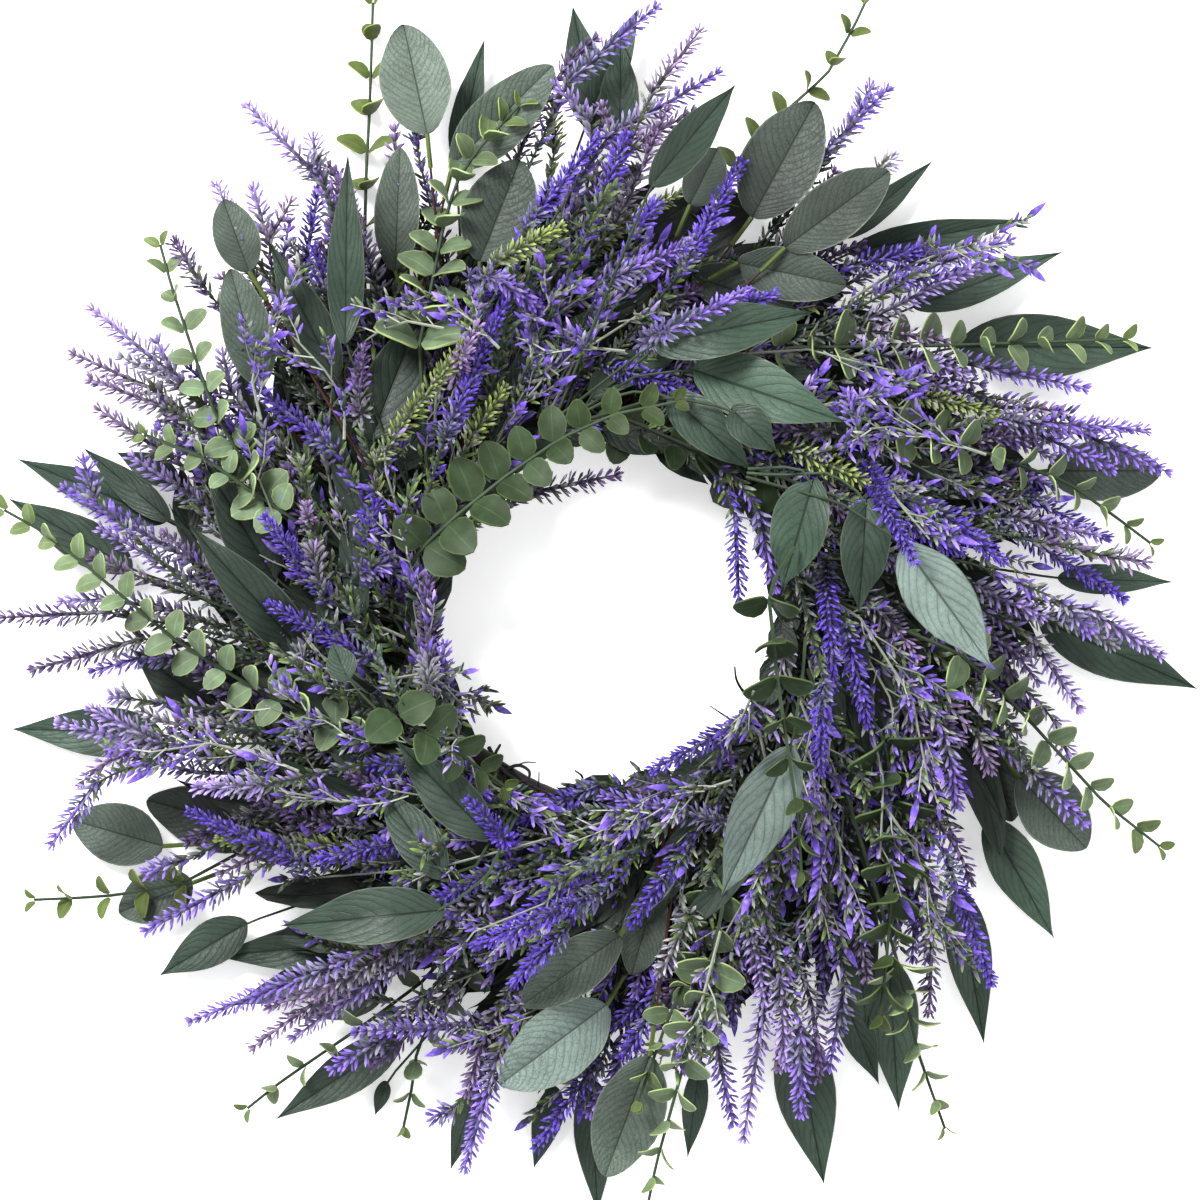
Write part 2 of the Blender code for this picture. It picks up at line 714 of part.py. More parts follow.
def fuse(name, laid, collection):
    """One solid from a bunch's shapes."""
    gathered = new_collection(name + "_shapes")
    for points, faces in laid[1:]:
        mesh_object(name + "_shape", points, faces, gathered)
    obj = mesh_object(name, *laid[0], collection)
    if len(laid) > 1:
        union = obj.modifiers.new("union", "BOOLEAN")
        union.operation = "UNION"
        union.operand_type = "COLLECTION"
        union.collection = gathered
        for solver in ("EXACT", "MANIFOLD"):
            union.solver = solver
            fused = cleaned(evaluated_mesh(obj))
            if is_closed(fused):
                break
        obj.modifiers.clear()
        obj.data = fused
    for shape in list(gathered.objects):
        bpy.data.objects.remove(shape, do_unlink=True)
    bpy.data.collections.remove(gathered)
    return obj


def settle(obj, placed):
    """Lower a bunch until it nearly touches what lies below it."""
    tree = BVHTree.FromPolygons(*placed)
    for _ in range(SEAT_ROUNDS):
        points, faces = mesh_arrays(obj.data)
        gap = SEAT_REACH
        for point in spread(points, faces)[::SEAT_SAMPLES]:
            hit = tree.find_nearest(Vector(point), gap)
            if hit[0] is not None:
                gap = min(gap, hit[3])
        lowest = points[:, 2].min() - CLEARANCE
        drop = min(gap - SEAT_GAP, lowest)
        if drop < SEATED or gap == SEAT_REACH:
            return
        for vertex in obj.data.vertices:
            vertex.co.z -= drop


def vine(index, collection):
    """One vine of the hoop, wound round the hoop's centreline, its underside planed."""
    curve = bpy.data.curves.new("vine", "CURVE")
    curve.dimensions = "3D"
    curve.bevel_depth = VINE_RADIUS
    curve.bevel_resolution = 1
    curve.use_fill_caps = True
    spline = curve.splines.new("POLY")
    spline.points.add(VINE_POINTS)
    offset = math.tau * index / VINE_COUNT
    for k, point in enumerate(spline.points):
        around = offset + (math.tau - VINE_SPLICE) * k / VINE_POINTS
        wind = VINE_TURNS * around + offset
        radius = HOOP_RADIUS + VINE_WIND * math.cos(wind)
        z = HOOP_AXIS_Z + VINE_WIND * math.sin(wind)
        point.co = (radius * math.sin(around), radius * math.cos(around), z, 1.0)
    guide = bpy.data.objects.new("vine_guide", curve)
    collection.objects.link(guide)
    mesh = evaluated_mesh(guide)
    name = f"vine_{index + 1}"
    mesh.name = name
    obj = bpy.data.objects.new(name, mesh)
    collection.objects.link(obj)
    obj.matrix_world = guide.matrix_world
    bpy.data.objects.remove(guide, do_unlink=True)
    bm = bmesh.new()
    bm.from_mesh(mesh)
    bmesh.ops.remove_doubles(bm, verts=bm.verts, dist=WELD)
    everything = bm.verts[:] + bm.edges[:] + bm.faces[:]
    cut = bmesh.ops.bisect_plane(bm, geom=everything, plane_co=(0, 0, 0),
                                 plane_no=(0, 0, -1), clear_outer=True)
    rims = [e for e in cut["geom_cut"] if isinstance(e, bmesh.types.BMEdge)]
    bmesh.ops.holes_fill(bm, edges=rims, sides=0)
    bmesh.ops.recalc_face_normals(bm, faces=bm.faces)
    bmesh.ops.triangulate(bm, faces=bm.faces)
    bm.to_mesh(mesh)
    bm.free()
    mesh.materials.append(material("vine", BARK_ROUGHNESS))
    return obj


def lance_leaf(root, seat_z, layer, row, tie_half, draw):
    roll = math.radians(draw.uniform(-LANCE_ROLL, LANCE_ROLL))
    return leaf(root, seat_z, layer, row, tie_half, LANCE_STATIONS, lance_width, roll)


def oval_leaf(root, seat_z, layer, row, tie_half, draw):
    roll = math.radians(draw.uniform(-OVAL_ROLL, OVAL_ROLL))
    return leaf(root, seat_z, layer, row, tie_half, OVAL_STATIONS, oval_width, roll)


def head(root, seat_z, layer, row, tie_half, _draw):
    return lavender_head(root, seat_z, layer, row, tie_half)


def leafy_stem(root, seat_z, layer, row, tie_half, _draw):
    return sprig(root, seat_z, layer, row, tie_half)


# Each layer in the order it is laid: its table, what it is made of, its colour,
# the radius of its ties and how its stems rise.
LAYERS = (
    (LANCE_BACK, lance_leaf, "lance", BACK_TIES, BACK_FALL),
    (OVAL_BACK, oval_leaf, "oval", BACK_TIES, BACK_FALL),
    (EUCALYPTUS_BACK, leafy_stem, "eucalyptus", MIDDLE_TIES, BACK_FALL),
    (LAVENDER_BACK, head, "lavender_back", MIDDLE_TIES, MIDDLE_RISE),
    (OVAL_MIDDLE, oval_leaf, "oval", MIDDLE_TIES, MIDDLE_RISE),
    (LANCE_MIDDLE, lance_leaf, "lance", MIDDLE_TIES, MIDDLE_RISE),
    (EUCALYPTUS_MIDDLE, leafy_stem, "eucalyptus", MIDDLE_TIES, MIDDLE_RISE),
    (LAVENDER_FRONT, head, "lavender_front", FRONT_TIES, FRONT_RISE),
    (LANCE_FRONT, lance_leaf, "lance", FRONT_TIES, FRONT_RISE),
    (EUCALYPTUS_FRONT, leafy_stem, "eucalyptus", FRONT_TIES, FRONT_RISE),
)


def foot_of(row):
    """Where a head's, a leaf's or a sprig's own part starts."""
    return at(*row[2]) if isinstance(row[2], tuple) else at(*row[:2])


def bunch(make, root, seat_z, rise, rows, draw):
    """The stems of one bunch, side by side in the tie that its middle stem holds."""
    heading = unit(np.mean([unit(foot_of(row) - root) for row in rows], axis=0))
    across = np.array((heading[1], -heading[0]))
    ranked = sorted(rows, key=lambda row: np.dot(unit(foot_of(row) - root), across))
    middle = len(rows) // 2
    tie_half = TIE_PITCH * len(rows) / 2 + STEM_HALF
    order = sorted(range(len(rows)), key=lambda rank: abs(rank - middle))
    shapes = []
    for rank in order:
        scatter = draw.uniform(-RISE_SCATTER, RISE_SCATTER) if rise[0] > 0 else 0.0
        shift = TIE_PITCH * (rank - (len(rows) - 1) / 2)
        shapes.append(make(root + across * shift, seat_z, (rise[0] + scatter, rise[1]),
                           ranked[rank], tie_half if rank == middle else 0.0, draw))
    return shapes


def main():
    clear_scene()
    wreath = new_collection("lavender_wreath")
    ground = HeightMap()
    vines = [vine(index, wreath) for index in range(VINE_COUNT)]
    placed_points = []
    placed_faces = []

    def place(points, faces):
        first = len(placed_points)
        placed_points.extend(map(tuple, points))
        placed_faces.extend(tuple(int(v) + first for v in face) for face in faces)
        ground.add(spread(points, faces))

    for obj in vines:
        place(*mesh_arrays(obj.data))
    seat_z = HOOP_TOP_Z + TIE_HALF_HEIGHT
    for table, make, colour, tie_radius, rise in LAYERS:
        for name, (clock, rows) in table.items():
            draw = random.Random(name)
            root = on_ring(clock, tie_radius)
            shapes = bunch(make, root, seat_z, rise, rows, draw)
            obj = fuse(name, lay(shapes, ground), wreath)
            settle(obj, (placed_points, placed_faces))
            obj.data.materials.clear()
            obj.data.materials.append(material(colour))
            place(*mesh_arrays(obj.data))


main()
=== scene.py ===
"""Lavender wreath: the fine foliage, bark and finishes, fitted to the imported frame.

Each bunch or spray of the frame is a coarse solid. Here it is made again finely, along the
same stems: lavender heads floret by floret, blades with veins, and round eucalyptus leaves.
A stem's place in plan comes from the same tables as in the frame's own source, and its
height is read from the solid that it replaces.
"""

import math
import random

import bpy
import numpy as np
from bpy.props import FloatProperty, FloatVectorProperty, IntProperty, PointerProperty
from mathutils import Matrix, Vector
from mathutils.bvhtree import BVHTree


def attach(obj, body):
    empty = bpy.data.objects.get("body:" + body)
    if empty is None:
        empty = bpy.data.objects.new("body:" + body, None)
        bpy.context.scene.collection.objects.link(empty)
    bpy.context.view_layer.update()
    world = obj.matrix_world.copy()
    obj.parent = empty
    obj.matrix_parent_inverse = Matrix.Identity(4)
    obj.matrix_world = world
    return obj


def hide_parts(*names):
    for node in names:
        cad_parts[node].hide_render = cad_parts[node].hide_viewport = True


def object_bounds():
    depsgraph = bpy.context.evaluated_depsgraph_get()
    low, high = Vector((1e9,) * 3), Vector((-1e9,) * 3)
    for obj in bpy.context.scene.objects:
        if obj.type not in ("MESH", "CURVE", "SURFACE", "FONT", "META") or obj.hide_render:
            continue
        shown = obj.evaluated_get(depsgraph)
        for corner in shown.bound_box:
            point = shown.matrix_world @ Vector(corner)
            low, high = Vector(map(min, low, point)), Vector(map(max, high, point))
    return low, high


bl_info = {
    "name": "Lavender wreath",
    "version": (1, 0, 0),
    "blender": (4, 5, 0),
    "location": "View3D > Sidebar > Wreath",
    "description": "Makes a wreath of lavender, long leaves and eucalyptus round a vine hoop",
    "category": "Object",
}

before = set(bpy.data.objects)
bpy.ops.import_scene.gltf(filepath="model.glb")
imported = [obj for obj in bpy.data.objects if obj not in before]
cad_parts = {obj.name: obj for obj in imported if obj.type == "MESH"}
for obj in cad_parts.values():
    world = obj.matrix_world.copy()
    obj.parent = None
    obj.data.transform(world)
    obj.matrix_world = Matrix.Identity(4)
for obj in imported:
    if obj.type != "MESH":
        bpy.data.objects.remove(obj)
CAD_LOW, CAD_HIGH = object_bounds()

MM = 0.001

# The face view is a square of SPAN, ruled in FACE_STEPS steps, right and down from its
# top left corner. The tables below give places and widths in these steps.
SPAN = 0.560
FACE_STEPS = 1200
FACE_CENTRE = (604, 616)
STEP = SPAN / FACE_STEPS

# The hoop's vines, as in the frame's own source.
HOOP_RADIUS = 0.096
VINE_RADIUS = 0.006
VINE_WIND = 0.0073
VINE_TURNS = 2
VINE_SPLICE = math.radians(3)
VINE_COUNT = 3
PLANED = 0.8 * MM

# How finely the vines are drawn, and how much slimmer than their solids.
VINE_STEPS = 150
VINE_SIDES = 10
VINE_SLIMMER = 0.97

# Ties and stems, as in the frame's own source.
TIE_PITCH = 1.9 * MM
TIE_LENGTH = 10 * MM
TIE_SHARE_MOST = 0.3
TIE_TAPER = 1.4
STEM_EASE = 0.38
STEM_BEND = 0.55
STRAIGHT_ENOUGH = math.radians(28)
PAIR_THINNING = 1.25

# How the frame's solids are read: the distance between readings, the height that they start
# from, how far they go on past a face, and how far aside they keep from a solid's edges.
READING_PITCH = 4 * MM
CEILING = 0.3
PAST_FACE = 2e-6
ASIDE = 1e-5

# Painted shade, darker deeper in the foliage: the height from which foliage is fully lit, where
# the lit rim starts and how wide it is, what is left of a colour at the darkest place, and how
# fast it darkens towards there.
FACE_DEPTH = 62 * MM
RIM_START = 0.165
RIM_WIDTH = 0.07
DEEPEST = 0.11
DEPTH_POWER = 1.45

# Copies, blades and stems are moved up or down as a whole to lie between these heights.
FLOOR_GAP = 0.3 * MM
HIGHEST = CAD_HIGH[2] + 9 * MM

# Small closed forms: how far up each is widest, and its rings and sides.
FULL_FLORET = (0.6, 3, 3)
SLIM_FLORET = (0.6, 2, 3)
SMALL_LEAF = (0.42, 2, 4)
PURPLE_LEAFLET = (0.4, 5, 4)

# A head: how its florets' length changes from foot to tip, and how far they open, in degrees.
FULL_PROFILE = (0.86, 0.5, 0.8)
SLIM_PROFILE = (1.06, 0.1, 0.55)
SLIM_PITCH = 1.32
FLORET_OPENING = 56
FLORET_CLOSING = 28

# A head's stem runs on into it, is thick with leaves just below it, and is bare at its foot.
HEAD_FOOT = 2 * MM
LEAFY_RUN = 34 * MM
BARE_FOOT = 12 * MM

# Leaves: a leaf of a tone from SILVERED up shows its pale back, in full at FULL_SILVER. An
# oval leaf's stem is green and thick over its last stretch. Rolls are in degrees.
SILVERED = 3
FULL_SILVER = 6
OVAL_STALK = 16 * MM
LANCE_ROLL = 16
OVAL_ROLL = 14

# Round leaves: how far they face along their stem and how much smaller the last ones are,
# where the tables below give no other value, and how much narrower the last ones are.
USUAL_FACING = 1.3
USUAL_TAPER = 0.45
NARROWED = 0.25

# The undergrowth's rings of near-black leaves, painted shade deep in the foliage, each a height
# in millimetres, a number of leaves and a reach from the axis in metres. Rings that reach less
# than INNER_REACH lie round the hole.
INNER_REACH = 0.1
UNDERGROWTH_PIECES = 6
UNDERGROWTH = (
    (3, 60, 0.18), (19, 84, 0.2), (27, 84, 0.175), (38, 60, 0.155), (46, 22, 0.14),
    (28, 44, 0.09), (33, 40, 0.086))

# The filling greenery's layers: a number of stems, the heights in millimetres between which
# they start and end, and their reach from the axis in metres.
FILLER_PIECES = 12
FILLING = (
    (40, (12, 20), (20, 30), (0.15, 0.225)),
    (62, (24, 34), (34, 50), (0.14, 0.21)),
    (54, (34, 44), (50, 66), (0.12, 0.18)),
    (44, (24, 36), (26, 44), (0.084, 0.098)))

# Flocked stems: how flat their twigs lie, and the height from which they carry more purple.
TWIG_FLATTENED = 0.6
RICH_LEVEL = 46 * MM

# Sprays on top lie so far above the highest solid, which counts as no lower than LOWEST_TOP.
LAID_ABOVE = 7.5 * MM
LOWEST_TOP = 20 * MM

# Heights between which the dry tendrils rise.
TENDRIL_RISE = (16 * MM, 34 * MM)

# Lamps: name, place, size and power. The camera looks down from CAMERA_DISTANCE above the
# height at which SPAN fills its frame.
LAMPS = (("key", (-1.3, 1.5, 2.2), 0.9, 150), ("fill", (1.6, -0.6, 2.0), 1.6, 18))
ROOM_LIGHT = 0.82
FLOOR_SIZE = 12
FLOOR_GLOW = 0.4
CAMERA_DISTANCE = 5.0
CAMERA_LEVEL = 0.045

# Lavender: clock angle of the tie, then each head from its foot to its tip, and its tint.
LAVENDER_BACK = {
    "lavender_back_12": (328, (
        (568, 82, 659, 3, "violet"), (605, 140, 722, 70, "violet"),
        (650, 98, 702, 28, "mauve"), (591, 122, 551, 82, "lilac"),
        (555, 150, 552, 95, "olive"), (415, 142, 421, 62, "violet"),
        (412, 220, 400, 165, "lilac"))),
    "lavender_back_11": (300, (
        (325, 184, 245, 104, "lilac"), (248, 245, 214, 182, "lilac"),
        (265, 235, 252, 184, "lilac"), (268, 241, 293, 199, "mauve"),
        (302, 275, 319, 180, "vivid"), (325, 295, 314, 245, "vivid"),
        (333, 240, 338, 168, "violet"), (318, 172, 313, 135, "lilac"),
        (203, 287, 173, 239, "dusk"))),
    "lavender_back_10": (276, (
        (184, 384, 87, 305, "lilac"), (163, 394, 69, 352, "mauve"),
        (178, 413, 87, 378, "mauve"), (161, 451, 95, 407, "mauve"),
        (172, 373, 153, 336, "lilac"), (233, 396, 222, 350, "lilac"))),
    "lavender_back_9": (255, (
        (193, 562, 60, 486, "violet"), (95, 500, 82, 457, "violet"),
        (130, 574, 88, 556, "mauve"), (110, 612, -2, 618, "dusk"),
        (145, 638, 29, 671, "dusk"), (225, 690, 190, 660, "lilac"))),
    "lavender_back_8": (232, (
        (214, 761, 54, 722, "lilac"), (165, 745, 88, 707, "lilac"),
        (134, 699, 111, 696, "lilac"), (99, 780, 48, 847, "violet"),
        (184, 860, 142, 875, "violet"), (240, 880, 142, 933, "violet"))),
    "lavender_back_7": (184, (
        (350, 958, 186, 1023, "violet"), (379, 956, 249, 1050, "mauve"),
        (413, 944, 367, 987, "violet"), (494, 1021, 352, 1032, "violet"),
        (383, 1040, 329, 1071, "violet"), (500, 1050, 463, 1174, "violet"),
        (455, 1109, 430, 1120, "violet"), (600, 1059, 534, 1151, "vivid"))),
    "lavender_back_5": (146, (
        (768, 983, 743, 1143, "lilac"), (715, 1036, 734, 1128, "violet"),
        (780, 975, 786, 1067, "lilac"), (799, 1021, 801, 1117, "violet"),
        (734, 963, 730, 1025, "violet"), (749, 925, 757, 967, "lilac"),
        (661, 983, 611, 1029, "vivid"), (649, 1017, 623, 1059, "vivid"))),
    "lavender_back_4": (112, (
        (914, 883, 929, 963, "violet"), (933, 906, 929, 1017, "dusk"),
        (944, 852, 993, 986, "vivid"), (826, 849, 823, 1013, "violet"),
        (845, 983, 830, 1071, "violet"))),
    "lavender_back_3": (78, (
        (1032, 638, 1082, 711, "lilac"), (1055, 719, 1074, 768, "lilac"),
        (1086, 608, 1166, 657, "lilac"), (1059, 600, 1090, 634, "violet"),
        (1032, 772, 1088, 826, "violet"), (977, 734, 990, 772, "mauve"),
        (944, 734, 958, 810, "violet"), (881, 707, 902, 768, "violet"),
        (845, 749, 845, 791, "pale"))),
    "lavender_back_2": (47, (
        (933, 356, 1090, 388, "violet"), (1000, 420, 1151, 430, "violet"),
        (1015, 422, 1116, 470, "violet"), (1082, 432, 1173, 473, "violet"),
        (1015, 491, 1112, 539, "vivid"), (994, 516, 1128, 600, "vivid"),
        (1107, 556, 1149, 562, "mauve"))),
    "lavender_back_1": (14, (
        (824, 153, 891, 86, "violet"), (860, 111, 873, 82, "violet"),
        (877, 170, 896, 155, "pale"), (845, 268, 929, 249, "vivid"),
        (937, 264, 1013, 239, "violet"), (887, 283, 963, 272, "vivid"))),
}
LAVENDER_FRONT = {
    "lavender_front_12": (322, (
        (526, 230, 600, 137, "vivid"), (600, 205, 628, 135, "vivid"),
        (495, 266, 564, 228, "olive"), (545, 300, 470, 285, "vivid"))),
    "lavender_front_1": (345, (
        (632, 239, 657, 203, "vivid"), (644, 260, 703, 249, "vivid"),
        (682, 272, 742, 161, "vivid"), (680, 329, 776, 295, "vivid"),
        (600, 364, 696, 394, "vivid"))),
    "lavender_front_11": (290, (
        (445, 440, 507, 300, "vivid"), (376, 463, 478, 329, "olive"),
        (468, 445, 507, 386, "olive"), (530, 493, 621, 474, "dusk"))),
    "lavender_front_10": (262, (
        (337, 452, 252, 386, "vivid"), (330, 600, 265, 516, "vivid"),
        (367, 536, 378, 500, "vivid"), (432, 690, 428, 575, "dusk"),
        (440, 688, 445, 642, "violet"))),
    "lavender_front_9": (228, (
        (372, 660, 268, 603, "vivid"), (409, 765, 367, 765, "vivid"),
        (471, 776, 440, 761, "vivid"), (268, 784, 195, 787, "lilac"),
        (421, 837, 314, 860, "vivid"), (314, 868, 187, 810, "vivid"),
        (509, 830, 469, 799, "vivid"))),
    "lavender_front_7": (166, (
        (600, 784, 513, 826, "vivid"), (509, 864, 392, 922, "vivid"),
        (600, 856, 509, 925, "vivid"), (600, 891, 474, 944, "vivid"),
        (566, 925, 513, 983, "vivid"))),
    "lavender_front_6": (114, (
        (684, 849, 630, 925, "vivid"), (757, 713, 650, 771, "vivid"),
        (726, 822, 600, 795, "violet"), (787, 833, 753, 868, "vivid"))),
    "lavender_front_4": (70, (
        (825, 560, 832, 690, "vivid"), (822, 680, 818, 773, "vivid"),
        (845, 623, 868, 726, "vivid"))),
    "lavender_front_2": (30, (
        (864, 471, 918, 563, "vivid"), (900, 520, 959, 553, "vivid"),
        (929, 507, 1003, 562, "vivid"), (830, 432, 755, 431, "dusk"),
        (858, 434, 845, 392, "violet"), (735, 515, 739, 602, "vivid"),
        (757, 510, 776, 593, "violet"), (768, 457, 831, 485, "vivid"),
        (791, 451, 868, 484, "olive"))),
}

# Leaves: clock angle of the tie, then each blade from its foot to its tip, its width and
# its tone, where 1 is the usual colour.
LANCE_BACK = {
    "lance_back_12": (325, (
        (455, 160, 484, 33, 30, 0.9), (597, 130, 572, 0, 45, 0.8),
        (620, 135, 621, 34, 40, 0.9), (590, 110, 640, 2, 35, 1.0))),
    "lance_back_1": (18, (
        (845, 235, 937, 156, 25, 0.9), (850, 250, 1031, 216, 36, 1.0),
        (915, 305, 1067, 249, 40, 1.2), (960, 345, 1159, 346, 66, 1.0))),
    "lance_back_3": (72, (
        (1060, 578, 1178, 582, 30, 1.3), (1042, 620, 1203, 690, 55, 1.2),
        (990, 820, 1058, 942, 50, 1.3), (960, 890, 987, 1048, 45, 1.2),
        (890, 960, 901, 1116, 52, 1.2))),
    "lance_back_5": (130, (
        (850, 870, 868, 1030, 50, 1.0), (845, 1000, 881, 1088, 35, 0.9),
        (795, 1030, 826, 1190, 60, 1.0), (700, 1070, 688, 1163, 25, 1.0))),
    "lance_back_6": (178, (
        (590, 1080, 598, 1222, 40, 0.8), (555, 1090, 533, 1174, 30, 0.9),
        (475, 1090, 449, 1176, 25, 0.8), (385, 1085, 373, 1120, 15, 0.8))),
    "lance_back_7": (196, (
        (400, 1040, 272, 1124, 45, 0.9), (385, 985, 298, 1022, 40, 0.9),
        (370, 960, 226, 1010, 40, 0.8), (365, 945, 207, 959, 45, 1.1),
        (245, 925, 155, 979, 45, 0.9))),
    "lance_back_9": (240, (
        (160, 735, 5, 730, 50, 1.2), (215, 710, 128, 650, 55, 0.7))),
    "lance_back_10": (262, (
        (165, 520, 11, 457, 40, 0.9), (168, 520, 79, 446, 30, 0.8),
        (175, 480, 113, 451, 30, 0.8), (190, 545, 177, 462, 30, 0.7),
        (130, 570, 3, 497, 45, 0.9))),
}
LANCE_MIDDLE = {
    "lance_front_11": (298, (
        (346, 345, 349, 154, 37, 0.9), (337, 380, 270, 243, 45, 0.6),
        (372, 440, 424, 305, 58, 0.6))),
    "lance_front_10": (268, (
        (275, 580, 206, 463, 55, 0.55), (306, 655, 188, 523, 50, 0.6))),
}
LANCE_FRONT = {
    "lance_front_1": (348, (
        (692, 370, 844, 424, 64, 1.6), (668, 395, 751, 471, 45, 1.0),
        (730, 410, 775, 453, 40, 0.8), (651, 346, 814, 313, 52, 1.1),
        (650, 190, 737, 84, 42, 0.9))),
    "lance_front_3": (45, (
        (812, 480, 781, 590, 58, 1.5), (865, 500, 857, 612, 50, 1.0),
        (900, 545, 990, 668, 65, 6.0))),
    "lance_front_5": (96, (
        (790, 745, 720, 898, 62, 3.6),)),
    "lance_front_8": (205, (
        (445, 908, 281, 925, 57, 0.85), (490, 835, 396, 740, 50, 0.9),
        (445, 875, 379, 785, 45, 0.85), (350, 680, 333, 641, 30, 1.1))),
}
OVAL_BACK = {
    "oval_8": (222, (
        (160, 848, 68, 822, 62, 0.7), (270, 835, 143, 802, 65, 0.6),
        (190, 885, 115, 915, 55, 0.6))),
    "oval_3": (60, (
        (1050, 470, 1166, 470, 60, 0.8), (985, 722, 1015, 823, 55, 0.7),
        (1022, 778, 1090, 850, 68, 0.8))),
}
OVAL_MIDDLE = {
    "oval_11": (318, (
        (427, 134, 403, 23, 71, 1.15), (452, 166, 553, 66, 60, 1.0),
        (480, 262, 520, 160, 75, 0.7), (395, 270, 400, 147, 45, 0.8))),
    "oval_10": (292, (
        (250, 272, 224, 201, 45, 0.7), (262, 385, 232, 270, 50, 0.8))),
    "oval_1": (2, (
        (752, 217, 815, 102, 78, 0.42), (690, 205, 718, 148, 45, 0.75),
        (785, 248, 889, 171, 60, 0.48), (738, 263, 846, 286, 53, 0.8),
        (690, 275, 793, 310, 50, 0.5))),
    "oval_6": (160, (
        (655, 890, 632, 975, 45, 0.7), (620, 935, 522, 1005, 55, 0.8),
        (607, 1005, 500, 1085, 75, 6.0), (650, 1055, 605, 1178, 70, 1.1))),
}

# Eucalyptus: clock angle of the tie, then each sprig's leaf width, the spacing of its
# leaf pairs, its tone and the places that its stem runs through.
EUCALYPTUS_BACK = {
    "eucalyptus_9": (232, (
        (30, 46, "lime", (180, 885), (115, 897), (77, 900), (30, 902)),)),
    "eucalyptus_7": (190, (
        (30, 48, "sage", (420, 985), (348, 1038), (291, 1076), (245, 1112)),
        (30, 48, "sage", (467, 967), (417, 1048), (411, 1090), (402, 1132)))),
    "eucalyptus_11": (308, (
        (36, 46, "lime", (362, 300), (364, 180), (368, 100), (371, -2)),)),
    "eucalyptus_1": (350, (
        (30, 46, "lime", (667, 247), (717, 195), (764, 122), (814, 90), (852, 29),
         (867, -2)),)),
}
EUCALYPTUS_MIDDLE = {
    "eucalyptus_10": (280, (
        (34, 50, "sage", (265, 500), (214, 410), (191, 344), (172, 287), (160, 245)),
        (30, 50, "sage", (280, 510), (203, 457), (145, 435)))),
    "eucalyptus_8": (246, (
        (36, 50, "sage", (394, 745), (306, 715), (190, 650), (115, 590), (54, 540),
         (3, 510)),)),
    "eucalyptus_2": (22, (
        (38, 48, "sage", (780, 348), (950, 345), (1125, 339)),
        (32, 50, "sage", (900, 430), (986, 453), (1068, 482), (1116, 516),
         (1152, 543)))),
    "eucalyptus_3": (84, (
        (36, 50, "sage", (960, 654), (1021, 711), (1059, 753), (1105, 803),
         (1161, 847)),)),
    "eucalyptus_4": (104, (
        (46, 54, "deep", (885, 742), (893, 830), (887, 944), (879, 1015)),
        (32, 50, "sage", (898, 964), (918, 1051), (933, 1094), (946, 1130)))),
    "eucalyptus_5": (138, (
        (34, 50, "sage", (717, 898), (692, 964), (665, 1025), (638, 1101)),
        (34, 54, "sage", (711, 967), (688, 1048), (661, 1143), (648, 1205)))),
    "eucalyptus_12": (305, (
        (42, 42, "sage", (420, 345), (435, 270), (450, 200), (470, 160), (520, 105)),)),
    "eucalyptus_inner_1": (356, (
        (34, 44, "deep", (620, 432), (700, 452), (750, 478)),
        (30, 46, "deep", (765, 480), (866, 515)))),
}
EUCALYPTUS_FRONT = {
    "eucalyptus_inner_11": (284, (
        (46, 44, "deep", (425, 545), (470, 505), (536, 455), (600, 420), (676, 403)),)),
    "eucalyptus_inner_3": (70, (
        (36, 50, "deep", (768, 600), (780, 711), (795, 803), (800, 870)),)),
    "eucalyptus_inner_8": (252, (
        (40, 50, "deep", (400, 715), (430, 735), (470, 755), (505, 785)),)),
}

# How far a spray's round leaves face along their stem, where it isn't USUAL_FACING.
FACE_ON = {"eucalyptus_4": 2.4, "eucalyptus_3": 0.9, "eucalyptus_inner_3": 1.8,
           "eucalyptus_inner_11": 0.4, "eucalyptus_inner_8": 0.3, "eucalyptus_8": 0.6,
           "eucalyptus_10": 0.7, "eucalyptus_inner_1": 0.5}

# How much smaller a spray's last leaves are, where it isn't by USUAL_TAPER.
TAPERED = {"eucalyptus_inner_11": 0.52, "eucalyptus_inner_8": 0.6}

# Sprays that lie on top: whitish stems with purple leaves, and fresh green ferny ones.
FLOCKED = (
    ((731, 780), (640, 815), (560, 835), (480, 858), (400, 872), (300, 880)),
    ((828, 740), (826, 800), (822, 860), (815, 930)),
    ((262, 420), (252, 370), (262, 345), (285, 318)),
    ((345, 440), (345, 400), (325, 370), (292, 335)),
    ((500, 350), (470, 320), (448, 300), (425, 292)),
    ((625, 352), (590, 348), (560, 352), (520, 350)),
    ((365, 590), (347, 545), (325, 520), (306, 490)),
    ((385, 680), (420, 672), (445, 685), (466, 698)),
    ((300, 770), (250, 752), (200, 742), (150, 752)),
    ((985, 455), (940, 440), (900, 428), (868, 430)),
    ((850, 300), (900, 268), (955, 250), (1010, 246)),
    ((872, 470), (893, 497), (908, 520), (926, 540)),
    ((752, 690), (738, 730), (712, 762), (680, 785), (640, 800)),
    ((448, 720), (474, 764), (512, 800), (556, 814)),
    ((880, 800), (915, 850), (930, 900), (945, 950)),
    ((720, 930), (705, 985), (690, 1030), (660, 1060)),
    ((432, 650), (425, 610), (412, 570), (400, 530)),
    ((445, 330), (415, 322), (385, 330), (360, 345)),
    ((540, 385), (530, 350), (540, 320), (560, 290)),
)
FERNY = (
    ((404, 702), (380, 660), (362, 630), (348, 596)),
    ((470, 842), (455, 840), (440, 842), (425, 852)),
    ((520, 815), (505, 805), (495, 795), (488, 782)),
    ((655, 330), (668, 305), (682, 285), (700, 270)),
    ((405, 520), (415, 480), (425, 455), (440, 430)),
    ((640, 845), (600, 862), (570, 872), (540, 890)),
    ((560, 240), (585, 225), (600, 205), (615, 190)),
)

